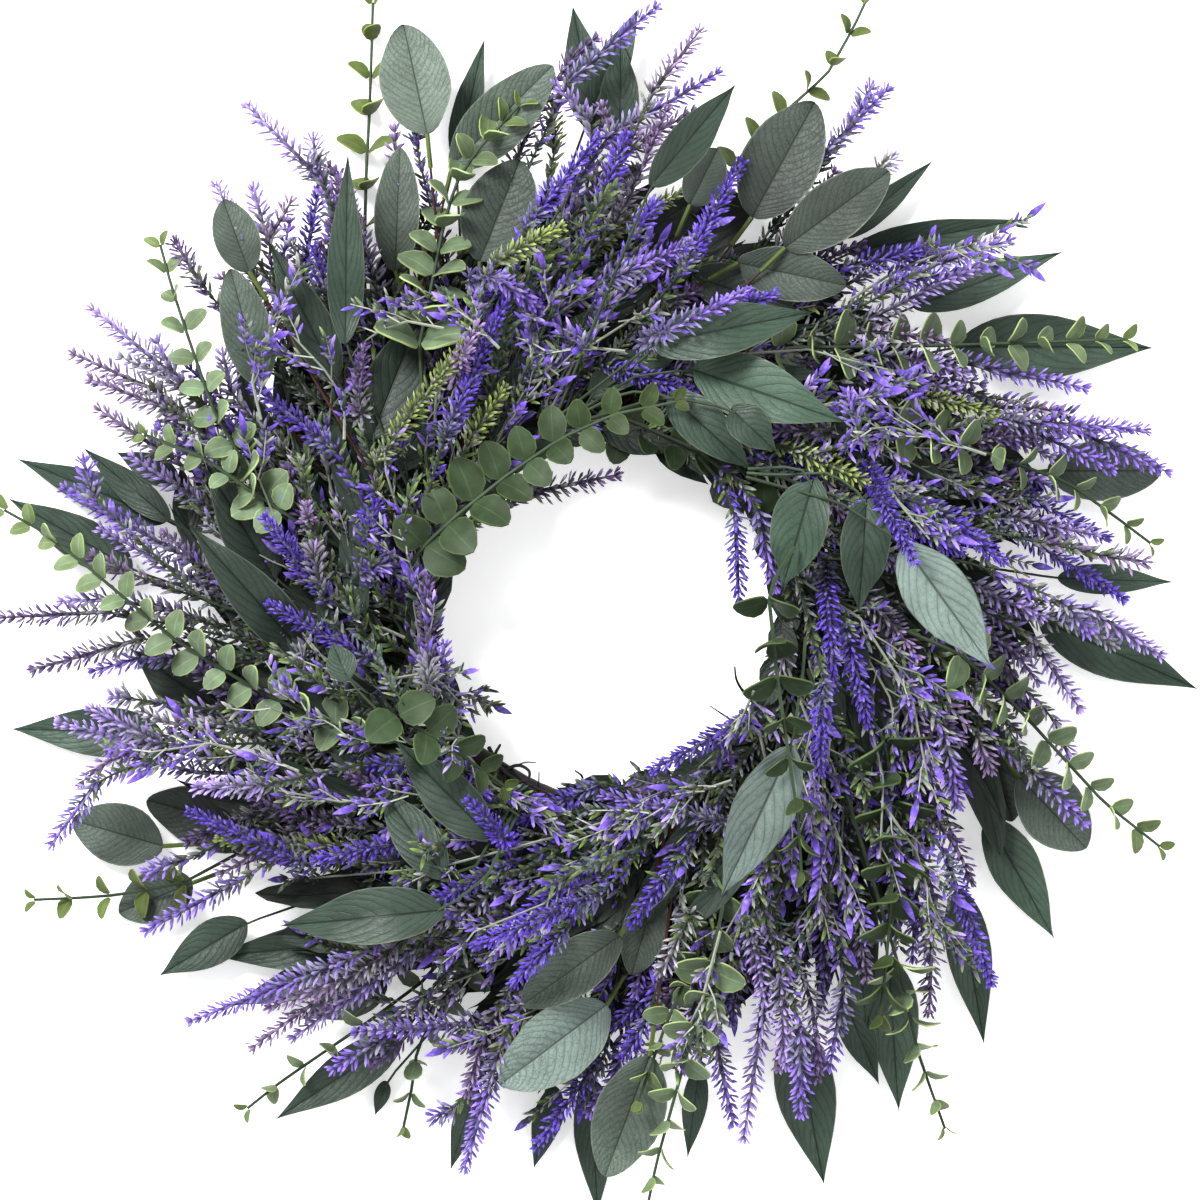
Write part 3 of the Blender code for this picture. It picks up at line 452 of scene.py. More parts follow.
# Heads that lie over the leaves: tone, and the places that each runs through.
TOP_HEADS = (
    ("vivid", (862, 452), (876, 490), (893, 527), (912, 564)),
    ("dusk", (430, 688), (428, 650), (427, 610), (429, 573)),
    ("violet", (640, 345), (672, 330), (712, 312), (750, 291)),
    ("violet", (462, 284), (490, 280), (515, 291), (542, 312)),
    ("violet", (598, 286), (628, 273), (660, 260), (690, 245)),
    ("mauve", (440, 414), (452, 385), (465, 355), (480, 325)),
    ("violet", (345, 593), (360, 574), (384, 566), (402, 580), (412, 606)),
    ("vivid", (512, 850), (500, 832), (485, 815), (468, 797)),
)

# Clock angles between which the hoop shows at the hole, and the dry tendrils there: how
# thick each is in millimetres, and the places that it runs through.
BARE_HOOP = (201, 217)
TENDRILS = (
    (1.1, ((512, 800), (505, 782), (508, 770), (519, 766), (529, 772), (527, 781), (518, 782))),
    (1.3, ((506, 778), (497, 766), (495, 755), (500, 745))),
    (0.5, ((505, 775), (513, 768), (525, 763), (536, 763))),
    (0.5, ((535, 805), (538, 790), (539, 772))),
    (0.9, ((574, 800), (581, 786), (582, 777), (575, 771))),
    (0.9, ((755, 704), (744, 692), (737, 680), (735, 667))),
    (0.6, ((740, 726), (725, 716), (710, 706))),
    (1.0, ((488, 748), (500, 768), (516, 781), (534, 792), (554, 802))),
    (0.8, ((494, 760), (512, 771), (528, 785), (546, 793), (566, 806))),
    (0.7, ((484, 760), (502, 785), (524, 796), (548, 808))),
)

# Radii of the three layers' ties round the hoop.
BACK_TIES = 0.104
MIDDLE_TIES = 0.099
FRONT_TIES = 0.094


def linear(hex_colour):
    """A colour as written for screens, in the linear values that shaders take."""
    parts = [int(hex_colour[k:k + 2], 16) / 255 for k in (1, 3, 5)]
    return tuple(c / 12.92 if c <= 0.04045 else ((c + 0.055) / 1.055) ** 2.4
                 for c in parts)


def colour_setting(name, hex_colour, description):
    return FloatVectorProperty(name=name, description=description, subtype="COLOR",
                               default=linear(hex_colour), min=0.0, max=1.0)


class WreathSettings(bpy.types.PropertyGroup):
    floret_length: FloatProperty(
        name="Floret length", description="Length of one lavender floret",
        default=7.6 * MM, min=2 * MM, max=15 * MM, unit="LENGTH")
    floret_width: FloatProperty(
        name="Floret width", description="Width of one lavender floret",
        default=2.0 * MM, min=0.5 * MM, max=6 * MM, unit="LENGTH")
    whorl_pitch: FloatProperty(
        name="Whorl pitch", description="Distance between a head's rings of florets",
        default=3.3 * MM, min=1.5 * MM, max=8 * MM, unit="LENGTH")
    whorl_florets: IntProperty(
        name="Florets in a ring", description="Florets round each ring of a head",
        default=7, min=4, max=12)
    blade_thickness: FloatProperty(
        name="Leaf thickness", description="Thickness of the long and oval leaves",
        default=0.6 * MM, min=0.2 * MM, max=1.5 * MM, unit="LENGTH")
    stem_radius: FloatProperty(
        name="Stem radius", description="Radius of a lavender or leaf stem",
        default=0.75 * MM, min=0.3 * MM, max=2 * MM, unit="LENGTH")
    vivid: colour_setting("Vivid", "#472E9A", "Brightest blue-violet heads")
    violet: colour_setting("Violet", "#6C52AE", "Common violet heads")
    lilac: colour_setting("Lilac", "#8B76B8", "Faded lilac heads")
    mauve: colour_setting("Mauve", "#765F8A", "Greyish mauve heads")
    dusk: colour_setting("Dusk", "#4E3769", "Dark purple heads")
    pale: colour_setting("Pale", "#A99DBF", "Palest heads")
    frost: colour_setting("Frost", "#8B8696", "Whitish heads")
    olive: colour_setting("Olive", "#6F7F38", "Green heads that haven't opened")
    lance: colour_setting("Long leaf", "#2B3C30", "Long pointed leaves")
    oval: colour_setting("Oval leaf", "#4E5A50", "Oval leaves")
    silver: colour_setting("Silver leaf", "#7C8E87", "Long leaves seen from behind")
    sage: colour_setting("Sage", "#607055", "Common eucalyptus leaves")
    lime: colour_setting("Lime", "#455223", "Brighter eucalyptus leaves")
    deep: colour_setting("Deep", "#2B3923", "Darker eucalyptus leaves")
    fern: colour_setting("Fern", "#556B2A", "Fresh green leaflets below the heads")
    flock: colour_setting("Flock", "#9AA092", "Whitish stems of the filling greenery")
    petal: colour_setting("Leaflet", "#5E44AB", "Purple leaflets of the filling greenery")
    # Painted shade: a near-black leaf colour for the leaves that fill the deepest gaps.
    shade: colour_setting("Shade", "#1C2A20", "Leaves deep in the foliage")
    stem: colour_setting("Stem", "#2F3D29", "Green stems")
    twig: colour_setting("Twig", "#3E211B", "Reddish twigs of the oval leaves")
    bark: colour_setting("Bark", "#332A27", "Bark of the vines")


def settings():
    return bpy.context.scene.wreath


def colour_of(name):
    """One of the user's colours, ready to be scaled and mixed."""
    return np.array(getattr(settings(), name))


def at(across, down):
    """A place of the face view, in metres from the hoop's axis."""
    x = (across - FACE_CENTRE[0]) * STEP
    y = (FACE_CENTRE[1] - down) * STEP
    return np.array((x, y))


def on_ring(clock, radius):
    """A place at a clock angle, in degrees clockwise from the top."""
    angle = math.radians(clock)
    return np.array((math.sin(angle), math.cos(angle))) * radius


def unit(vector):
    return vector / max(np.linalg.norm(vector), 1e-9)


def bezier(start, leave, arrive, end, t):
    s = 1 - t
    return s**3 * start + 3 * s * s * t * leave + 3 * s * t * t * arrive + t**3 * end


def through(points, count):
    """Evenly numbered points of a smooth curve through the given ones."""
    points = [2 * points[0] - points[1], *points, 2 * points[-1] - points[-2]]
    spans = len(points) - 3
    curve = []
    for k in range(count):
        place = k * spans / (count - 1)
        span = min(int(place), spans - 1)
        a, b, c, d = points[span:span + 4]
        curve.append(bezier(b, b + (c - a) / 6, c - (d - b) / 6, c, place - span))
    return curve


def stem_plan(root, foot, tip, holds_tie):
    """The stem's places in plan, from its tie up to the foot of what it carries."""
    length = np.linalg.norm(foot - root)
    leave = root + (foot - root) * STEM_EASE
    arrive = foot - unit(tip - foot) * length * STEM_EASE
    shares = [0]
    if holds_tie:
        end = min(TIE_LENGTH / length, TIE_SHARE_MOST)
        shares += [end, end * TIE_TAPER]
    if np.dot(unit(foot - root), unit(tip - foot)) < math.cos(STRAIGHT_ENOUGH):
        shares.append(STEM_BEND)
    return [bezier(root, leave, arrive, foot, share) for share in shares]


def node_tree_of(name):
    """A search tree over one frame solid."""
    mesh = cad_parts[name].data
    mesh.calc_loop_triangles()
    points = [v.co[:] for v in mesh.vertices]
    faces = [t.vertices[:] for t in mesh.loop_triangles]
    return BVHTree.FromPolygons(points, faces)


def slabs(tree, x, y):
    """The bottom and top of each stretch of a solid on a vertical line, highest first."""
    levels = []
    z = CEILING
    while True:
        place = tree.ray_cast(Vector((x, y, z)), Vector((0, 0, -1)))[0]
        if place is None:
            break
        levels.append(place.z)
        z = place.z - PAST_FACE
    return [(levels[k + 1], levels[k]) for k in range(0, len(levels) - 1, 2)]


def tie_height(tree, root, feet):
    """The middle of the thickest stretch over a bunch's tie."""
    heading = unit(np.mean([unit(foot - root) for foot in feet], axis=0))
    found = slabs(tree, *(root + heading * TIE_LENGTH / 4))
    if not found:
        raise RuntimeError("a tie isn't where its table says")
    low, high = max(found, key=lambda slab: slab[1] - slab[0])
    return (low + high) / 2


class Path:
    """A smooth line in space with its length, and directions along it."""

    def __init__(self, points):
        self.points = np.array(points)
        steps = np.linalg.norm(np.diff(self.points, axis=0), axis=1)
        self.run = np.concatenate(((0.0,), np.cumsum(steps)))
        self.length = self.run[-1]

    def place(self, run):
        return np.array([np.interp(run, self.run, self.points[:, k]) for k in range(3)])

    def axes(self, run):
        """Forward, side and up at a distance along the line."""
        reach = 3 * MM
        low, high = max(run - reach, 0.0), min(run + reach, self.length)
        forward = unit(self.place(high) - self.place(low))
        side = unit(np.cross(forward, (0.0, 0.0, 1.0)))
        return forward, side, np.cross(side, forward)


def read_path(tree, plan, start_z):
    """The plan's line raised to the middle of the solid that it runs through.

    Also gives the run at which each plan point lies.
    """
    places = [plan[0]]
    marks = [0]
    for a, b in zip(plan, plan[1:]):
        pieces = max(1, round(np.linalg.norm(b - a) / READING_PITCH))
        places += [a + (b - a) * k / pieces for k in range(1, pieces + 1)]
        marks.append(len(places) - 1)
    heights = np.full(len(places), np.nan)
    heights[0] = start_z
    last = start_z
    for k, (x, y) in enumerate(places[:-1]):
        middles = [(low + high) / 2 for low, high in slabs(tree, x + ASIDE, y + ASIDE)]
        if k and middles:
            last = min(middles, key=lambda z: abs(z - last))
            heights[k] = last
    known = np.flatnonzero(~np.isnan(heights))
    heights = np.interp(np.arange(len(places)), known, heights[known])
    smooth = heights.copy()
    smooth[1:-1] = (heights[:-2] + 2 * heights[1:-1] + heights[2:]) / 4
    if len(places) > 3:
        smooth[-1] = 2 * smooth[-2] - smooth[-3]
    path = Path(np.column_stack((np.array(places), smooth)))
    return path, [path.run[k] for k in marks]


def bunch_plan(root, feet, rows):
    """Each row's own root in the tie and whether it holds the tie, in the order drawn."""
    heading = unit(np.mean([unit(foot - root) for foot in feet], axis=0))
    across = np.array((heading[1], -heading[0]))
    ranked = sorted(range(len(rows)), key=lambda k: np.dot(unit(feet[k] - root), across))
    middle = len(rows) // 2
    planned = []
    for rank in sorted(range(len(rows)), key=lambda rank: abs(rank - middle)):
        shift = TIE_PITCH * (rank - (len(rows) - 1) / 2)
        planned.append((rows[ranked[rank]], root + across * shift, rank == middle))
    return planned


class Form:
    """A small closed shape, kept as points, faces and a UV for each face corner."""

    def __init__(self, points, faces, corner_uvs):
        self.points = np.array(points, dtype=float)
        self.faces = faces
        self.corner_uvs = np.array(corner_uvs, dtype=float)


def form_of(obj):
    """The active object's mesh as a form. The object is removed."""
    mesh = obj.data
    layer = mesh.uv_layers.active.data
    points = [v.co[:] for v in mesh.vertices]
    faces = [tuple(p.vertices) for p in mesh.polygons]
    uvs = [layer[k].uv[:] for p in mesh.polygons for k in p.loop_indices]
    bpy.data.objects.remove(obj, do_unlink=True)
    return Form(points, faces, uvs)


def bud_form(widest, rings, sides):
    """A slim closed bud one unit long and wide, pointing along z."""
    bpy.ops.object.select_all(action="DESELECT")
    bpy.ops.mesh.primitive_uv_sphere_add(segments=sides, ring_count=rings, radius=0.5,
                                         location=(0, 0, 0.5))
    bud = bpy.context.active_object
    bpy.ops.object.transform_apply(location=True, rotation=False, scale=False)
    power = math.log(0.5) / math.log(widest)
    for vertex in bud.data.vertices:
        share = min(max(vertex.co.z, 0.0), 1.0)
        girth = math.sin(math.pi * share**power) ** 0.9
        spoke = math.hypot(vertex.co.x, vertex.co.y)
        if spoke > 1e-6:
            vertex.co.x *= 0.5 * girth / spoke
            vertex.co.y *= 0.5 * girth / spoke
    return form_of(bud)


def blade_form(columns, rows):
    """A flat leaf blank, from (-1, 0) to (1, 1), one unit thick."""
    bpy.ops.object.select_all(action="DESELECT")
    bpy.ops.mesh.primitive_grid_add(x_subdivisions=columns, y_subdivisions=rows, size=2)
    blank = bpy.context.active_object
    for vertex in blank.data.vertices:
        vertex.co.y = (vertex.co.y + 1) / 2
    wall = blank.modifiers.new("wall", "SOLIDIFY")
    wall.thickness = 1.0
    wall.offset = 0.0
    bpy.ops.object.modifier_apply(modifier=wall.name)
    return form_of(blank)


def lance_width(share):
    share = np.clip(share, 0, 1)
    return np.sin(np.pi * share**0.7) ** (0.85 + 0.4 * share)


def oval_width(share):
    return np.sin(np.pi * np.clip(share, 0, 1) ** 0.9) ** 0.6


def leaflet_form(blank):
    """A round eucalyptus leaf one unit long, cupped, on a short stalk."""
    u, v, w = blank.points.T
    share = (1 - np.cos(np.pi * v)) / 2
    half = 0.45 * np.sin(np.pi * share**0.85) ** 0.55 + 0.025 * (1 - share)
    x = u * half
    y = share
    z = w * 0.045 + 0.16 * (u * half) ** 2 / 0.45 + 0.10 * np.sin(np.pi * share * 0.9)
    return Form(np.column_stack((x, y, z)), blank.faces, blank.corner_uvs)


def painted_depth_shade(points):
    """Painted shade: how light a place's foliage is painted, dark deep inside, full at face and
    rim.
    """
    face = points[:, 2] / FACE_DEPTH
    painted_rim_light = (np.hypot(points[:, 0], points[:, 1]) - RIM_START) / RIM_WIDTH
    shown = np.clip(np.maximum(face, painted_rim_light), 0, 1) ** DEPTH_POWER
    return DEEPEST + (1 - DEEPEST) * shown


class Piece:
    """Gathers copies of forms, blades and stems into one mesh."""

    def __init__(self):
        self.points = []
        self.faces = []
        self.uvs = []
        self.tones = []
        self.slots = []
        self.count = 0
        self.pending = {}

    def put(self, points, faces, uvs, tone, slot):
        first = self.count
        lift = max(FLOOR_GAP - points[:, 2].min(), 0) - max(points[:, 2].max() - HIGHEST, 0)
        points = points + (0, 0, lift)
        self.points.append(points)
        self.faces += [tuple(v + first for v in face) for face in faces]
        self.uvs.append(uvs)
        # Painted shade: each point's tone is darkened deep in the foliage, but not at the top
        # face or the outer rim.
        self.tones.append(np.array(tone) * painted_depth_shade(points)[:, None])
        self.slots += [slot] * len(faces)
        self.count += len(points)

    def copy(self, form, place, turn, tone, slot=0):
        """One copy of a form. turn's rows are where its three axes go, with their size."""
        self.put(form.points @ turn + place, form.faces, form.corner_uvs, tone, slot)

    def stem(self, points, radii, tone, slot, sides=5):
        """A round stem, closed at both ends."""
        path = Path(points)
        rings = []
        angles = np.arange(sides) * math.tau / sides
        for run, point, radius in zip(path.run, path.points, radii):
            _, side, up = path.axes(run)
            rings.append(point + radius * (np.cos(angles)[:, None] * side
                                           + np.sin(angles)[:, None] * up))
        faces = [tuple(range(sides))]
        uvs = [(0.5, 0.0)] * sides
        for k in range(len(rings) - 1):
            for j in range(sides):
                m = (j + 1) % sides
                a, b = k * sides, (k + 1) * sides
                faces.append((a + j, b + j, b + m, a + m))
                low, high = path.run[k] / path.length, path.run[k + 1] / path.length
                uvs += [(j / sides, low), (j / sides, high), ((j + 1) / sides, high),
                        ((j + 1) / sides, low)]
        last = (len(rings) - 1) * sides
        faces.append(tuple(last + j for j in reversed(range(sides))))
        uvs += [(0.5, 1.0)] * sides
        self.put(np.concatenate(rings), faces, np.array(uvs), tone, slot)

    def finish(self, name, materials, replaced, slot_name, smooth=math.radians(40)):
        """The finished piece, riding on the wreath and standing for its solid."""
        mesh = bpy.data.meshes.new(name)
        mesh.from_pydata(np.concatenate(self.points).tolist(), [], self.faces)
        layer = mesh.uv_layers.new(name="UVMap")
        layer.data.foreach_set("uv", np.concatenate(self.uvs).ravel())
        tones = np.concatenate(self.tones)
        colours = np.column_stack((tones, np.ones(len(tones))))
        attribute = mesh.color_attributes.new(name="tone", type="FLOAT_COLOR", domain="POINT")
        attribute.data.foreach_set("color", colours.ravel())
        mesh.polygons.foreach_set("material_index", self.slots)
        mesh.update()
        obj = bpy.data.objects.new(name, mesh)
        bpy.context.scene.collection.objects.link(obj)
        for made in materials:
            mesh.materials.append(made)
        bpy.ops.object.select_all(action="DESELECT")
        obj.select_set(True)
        bpy.context.view_layer.objects.active = obj
        bpy.ops.object.shade_smooth_by_angle(angle=smooth)
        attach(obj, "root")
        if replaced:
            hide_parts(replaced)
        return obj


def nodes_of(name, roughness):
    """A new material with its tree and shader."""
    made = bpy.data.materials.new(name)
    made.use_nodes = True
    tree = made.node_tree
    shader = tree.nodes["Principled BSDF"]
    shader.inputs["Roughness"].default_value = roughness
    return made, tree, shader


def add_node(tree, kind, inputs=(), **values):
    """A node with its values set, and each given input set or linked."""
    node = tree.nodes.new(kind)
    for key, value in values.items():
        setattr(node, key, value)
    for key, value in dict(inputs).items():
        if isinstance(value, bpy.types.NodeSocket):
            tree.links.new(value, node.inputs[key])
        else:
            node.inputs[key].default_value = value
    return node


def sums(tree, operation, a, b=0.0, c=0.0, clamp=False):
    """The result of one arithmetic step on sockets or numbers."""
    node = add_node(tree, "ShaderNodeMath", {0: a, 1: b, 2: c}, operation=operation)
    node.use_clamp = clamp
    return node.outputs[0]


def step_between(tree, value, low, high):
    """0 below low and 1 above high, easing between them. low may be the larger one."""
    node = add_node(tree, "ShaderNodeMapRange",
                    {"Value": value, "From Min": low, "From Max": high},
                    interpolation_type="SMOOTHSTEP")
    return node.outputs["Result"]


def blend(tree, factor, a, b, kind="MIX"):
    node = add_node(tree, "ShaderNodeMix", data_type="RGBA", blend_type=kind)
    for socket, value in ((node.inputs[0], factor), (node.inputs[6], a), (node.inputs[7], b)):
        if isinstance(value, bpy.types.NodeSocket):
            tree.links.new(value, socket)
        else:
            socket.default_value = value
    return node.outputs[2]


def grain(tree, scale, detail=3.0, stretch=(1, 1, 1), source="Object"):
    """Noise on the piece's own coordinates."""
    place = add_node(tree, "ShaderNodeTexCoord").outputs[source]
    mapped = add_node(tree, "ShaderNodeMapping", {"Vector": place, "Scale": stretch})
    noise = add_node(tree, "ShaderNodeTexNoise",
                     {"Vector": mapped.outputs[0], "Scale": scale, "Detail": detail})
    return noise.outputs["Fac"]


def tone_of(tree):
    return add_node(tree, "ShaderNodeAttribute", attribute_name="tone").outputs["Color"]


def uv_of(tree):
    place = add_node(tree, "ShaderNodeTexCoord").outputs["UV"]
    parts = add_node(tree, "ShaderNodeSeparateXYZ", {0: place})
    return place, parts.outputs[0], parts.outputs[1]


def shaded(tree, colour, amount, dark, light):
    """A colour multiplied from dark to light by an amount from 0 to 1."""
    low = (dark, dark, dark, 1.0)
    high = (light, light, light, 1.0)
    return blend(tree, 1.0, colour, blend(tree, amount, low, high), "MULTIPLY")


def bumped(tree, shader, height, strength, distance):
    bump = add_node(tree, "ShaderNodeBump",
                    {"Height": height, "Strength": strength, "Distance": distance})
    tree.links.new(bump.outputs[0], shader.inputs["Normal"])


def floret_material():
    made, tree, shader = nodes_of("lavender florets", 0.62)
    _, _, along = uv_of(tree)
    # Darker at each floret's foot and lighter at its tip: partly the floret's own colour,
    # partly painted shade where the florets crowd at their feet.
    tone = shaded(tree, tone_of(tree), step_between(tree, along, 0.15, 0.95), 0.25, 1.75)
    frost = sums(tree, "MULTIPLY", step_between(tree, grain(tree, 420.0), 0.45, 0.75), 0.3)
    pale = blend(tree, frost, tone, (0.52, 0.48, 0.66, 1.0))
    colour = shaded(tree, pale, grain(tree, 1100.0), 0.72, 1.28)
    tree.links.new(colour, shader.inputs["Base Color"])
    shader.inputs["Specular IOR Level"].default_value = 0.2
    shader.inputs["Sheen Weight"].default_value = 0.1
    shader.inputs["Sheen Roughness"].default_value = 0.5
    bumped(tree, shader, grain(tree, 1800.0), 0.35, 0.2 * MM)
    return made


def stem_material():
    made, tree, shader = nodes_of("green stem", 0.68)
    shader.inputs["Specular IOR Level"].default_value = 0.25
    colour = shaded(tree, tone_of(tree), grain(tree, 260.0), 0.6, 1.4)
    tree.links.new(colour, shader.inputs["Base Color"])
    bumped(tree, shader, grain(tree, 1500.0), 0.3, 0.2 * MM)
    return made


def leaf_material(name, roughness, rib_width, vein_count, sweep, vein_dark, net,
                  edge_colour):
    """A leaf with a midrib, side veins that sweep to the tip, and a net between them."""
    made, tree, shader = nodes_of(name, roughness)
    place, across, along = uv_of(tree)
    off = sums(tree, "ABSOLUTE", sums(tree, "MULTIPLY_ADD", across, 2.0, -1.0))
    warp = sums(tree, "MULTIPLY", grain(tree, 3.0, source="UV"), 0.9)
    phase = sums(tree, "ADD", sums(tree, "MULTIPLY", along, vein_count), warp)
    fan = sums(tree, "MULTIPLY", sums(tree, "POWER", off, 1.35), sweep)
    phase = sums(tree, "SUBTRACT", phase, fan)
    saw = sums(tree, "ABSOLUTE", sums(tree, "SUBTRACT", sums(tree, "FRACT", phase), 0.5))
    broken = step_between(tree, grain(tree, 9.0, source="UV"), 0.3, 0.6)
    side = sums(tree, "MULTIPLY", step_between(tree, saw, 0.09, 0.0),
                sums(tree, "MULTIPLY_ADD", broken, 0.65, 0.35))
    rib = step_between(tree, off, rib_width, 0.3 * rib_width)
    wiggle = grain(tree, 1.0, 3.0, (13, 26, 1), "UV")
    ridge = sums(tree, "ABSOLUTE", sums(tree, "SUBTRACT", wiggle, 0.5))
    far_net = sums(tree, "MULTIPLY", sums(tree, "MULTIPLY_ADD", along, 0.9, 0.45), net)
    mesh_lines = sums(tree, "MULTIPLY", step_between(tree, ridge, 0.045, 0.0), far_net)
    fine = sums(tree, "SINE", sums(tree, "MULTIPLY", phase, 44.0))
    hatch = sums(tree, "MULTIPLY_ADD", fine, 0.5, 0.5)
    veins = sums(tree, "MAXIMUM", sums(tree, "MAXIMUM", sums(tree, "MULTIPLY", side, 0.75),
                                       rib), mesh_lines)
    base = shaded(tree, tone_of(tree), grain(tree, 45.0), 0.55, 1.45)
    base = shaded(tree, base, along, 0.8, 1.2)
    # Painted light and shade: the middle of each strip between side veins is lighter and its
    # sides darker, as light falls on a puckered leaf; the same mask also raises the bump.
    pucker_and_painted_light = sums(tree, "SUBTRACT", step_between(tree, saw, 0.0, 0.45), rib, clamp=True)
    base = shaded(tree, base, pucker_and_painted_light, 0.91, 1.06)
    base = shaded(tree, base, grain(tree, 520.0), 0.85, 1.15)
    base = shaded(tree, base, hatch, 0.93, 1.07)
    lined = shaded(tree, base, veins, 1.08, vein_dark)
    edge = step_between(tree, off, 0.93, 1.0)
    colour = blend(tree, sums(tree, "MULTIPLY", edge, 0.7), lined, edge_colour)
    tree.links.new(colour, shader.inputs["Base Color"])
    shader.inputs["Specular IOR Level"].default_value = 0.35
    height = sums(tree, "ADD", sums(tree, "MULTIPLY_ADD", pucker_and_painted_light, 0.4, sums(
        tree, "MULTIPLY", veins, -1.0)),
                  sums(tree, "MULTIPLY", grain(tree, 700.0), 0.35))
    bumped(tree, shader, height, 0.55, 0.35 * MM)
    return made


def leaflet_material():
    """A round leaf with a soft pale bloom and a painted highlight along its rim."""
    made, tree, shader = nodes_of("eucalyptus leaf", 0.6)
    shader.inputs["Specular IOR Level"].default_value = 0.25
    _, across, along = uv_of(tree)
    off = sums(tree, "ABSOLUTE", sums(tree, "MULTIPLY_ADD", across, 2.0, -1.0))
    far = sums(tree, "MAXIMUM", off, along)
    # Painted highlight: a band along the leaf's edge is made much lighter and yellower.
    painted_rim_light = step_between(tree, far, 0.88, 1.0)
    rib = step_between(tree, off, 0.08, 0.02)
    base = shaded(tree, tone_of(tree), grain(tree, 180.0), 0.75, 1.25)
    bloom = step_between(tree, grain(tree, 90.0), 0.35, 0.7)
    base = blend(tree, bloom, base, blend(tree, 1.0, base, (1.35, 1.4, 1.4, 1.0), "MULTIPLY"))
    lined = shaded(tree, base, rib, 0.95, 1.35)
    # The painted highlight's colour.
    bright = blend(tree, 1.0, lined, (2.7, 2.4, 1.6, 1.0), "MULTIPLY")
    colour = blend(tree, sums(tree, "MULTIPLY", painted_rim_light, 0.85), lined, bright)
    tree.links.new(colour, shader.inputs["Base Color"])
    bumped(tree, shader, sums(tree, "ADD", rib, grain(tree, 900.0)), 0.3, 0.2 * MM)
    return made


def bark_material():
    """Dry bark in strips that run along the vines."""
    made, tree, shader = nodes_of("vine bark", 0.86)
    place = add_node(tree, "ShaderNodeTexCoord").outputs["UV"]
    mapped = add_node(tree, "ShaderNodeMapping", {"Vector": place, "Scale": (9, 70, 1)})
    strips = add_node(tree, "ShaderNodeTexNoise",
                      {"Vector": mapped.outputs[0], "Scale": 1.0, "Detail": 6.0}).outputs["Fac"]
    colour = shaded(tree, tone_of(tree), step_between(tree, strips, 0.35, 0.65), 0.45, 1.9)
    tree.links.new(colour, shader.inputs["Base Color"])
    bumped(tree, shader, strips, 0.8, 0.8 * MM)
    return made


def tinted(colour, factor, draw, spread=0.10):
    """A colour made lighter or darker, with a little chance in it."""
    amount = factor * (1 + draw.uniform(-spread, spread))
    return np.array(colour) * amount


def lavender_head(piece, form, path, start, tint, draw):
    """Rings of florets along the head, shorter at its foot and tip."""
    chosen = settings()
    own = colour_of(tint)
    green, grey = colour_of("fern") * 0.8, colour_of("flock") * 0.6
    full = tint in ("vivid", "olive")
    length = path.length - start
    rings = max(4, round(length / (chosen.whorl_pitch * (1.0 if full else SLIM_PITCH))))
    base, swell, shrink = FULL_PROFILE if full else SLIM_PROFILE
    faded = 0.15 if full else draw.uniform(0.2, 0.5)
    for k in range(rings):
        share = (k + 0.2) / rings
        run = start + share * length
        forward, side, up = path.axes(run)
        centre = path.place(run)
        size = base + swell * share - shrink * share**2
        turn = draw.uniform(0, math.tau)
        opening = math.radians(FLORET_OPENING - FLORET_CLOSING * share**3)
        for j in range(chosen.whorl_florets):
            angle = turn + math.tau * (j + draw.uniform(-0.25, 0.25)) / chosen.whorl_florets
            spoke = math.cos(angle) * side + math.sin(angle) * up
            lean = opening + draw.uniform(-0.25, 0.25)
            grow = unit(math.cos(lean) * forward + math.sin(lean) * spoke)
            wide = unit(np.cross(grow, spoke))
            deep = np.cross(wide, grow)
            long = chosen.floret_length * size * draw.uniform(0.8, 1.12)
            broad = chosen.floret_width * (0.75 + 0.35 * size)
            turned = np.array((wide * broad, deep * broad * 0.7, grow * long))
            tone = tinted(own, 1.0, draw, 0.35)
            if share < faded * draw.uniform(0.6, 1.4):
                tone = tone * 0.5 + (grey if draw.random() < 0.5 else green) * 0.5
            piece.copy(form, centre + spoke * 0.5 * MM, turned, tone)
    piece.stem([path.place(start + t * length) for t in (0.0, 0.33, 0.66, 0.97)],
               [1.1 * MM, 1.1 * MM, 0.9 * MM, 0.4 * MM], own * 0.35 + green * 0.1, 0)


def stem_tone(draw):
    return tinted(settings().stem, 1.0, draw, 0.3)


def add_stem(piece, path, end, radius, draw, slot=1, tone=None):
    """The bare stem from the tie to a run along the path."""
    count = max(4, int(end / (9 * MM)))
    runs = [end * k / count for k in range(count + 1)]
    radii = [radius * (1.15 - 0.35 * k / count) for k in range(count + 1)]
    piece.stem([path.place(run) for run in runs], radii,
               stem_tone(draw) if tone is None else tone, slot)


def blade(piece, blank, path, start, half, width_at, tone, draw, roll, slot=0):
    """One leaf blade laid along the path from a run to its end."""
    u, v, w = blank.points.T
    share = np.round((1 - np.cos(np.pi * v)) / 2, 6)
    levels = np.unique(share)
    length = path.length - start
    centres, sides, overs = [], [], []
    for level in levels:
        run = start + level * length
        _, side, up = path.axes(run)
        centres.append(path.place(run))
        sides.append(math.cos(roll) * side + math.sin(roll) * up)
        overs.append(math.cos(roll) * up - math.sin(roll) * side)
    index = np.searchsorted(levels, share)
    centre, side, over = (np.array(rows)[index] for rows in (centres, sides, overs))
    width = half * width_at(share) + 0.35 * MM * (1 - share)
    phase = draw.uniform(0, math.tau)
    waves = draw.uniform(2.2, 3.4)
    ripple = 0.07 * half * np.sin(math.tau * waves * share + phase + np.sign(u)) * u**2
    lift = 0.22 * width * np.abs(u) + ripple - 0.05 * half * (1 - np.abs(u)) ** 6
    thickness = settings().blade_thickness * (1 - 0.5 * np.abs(u))
    points = centre + side * (u * width)[:, None] + over * (lift + w * thickness)[:, None]
    piece.put(points, blank.faces, blank.corner_uvs, tone, slot)


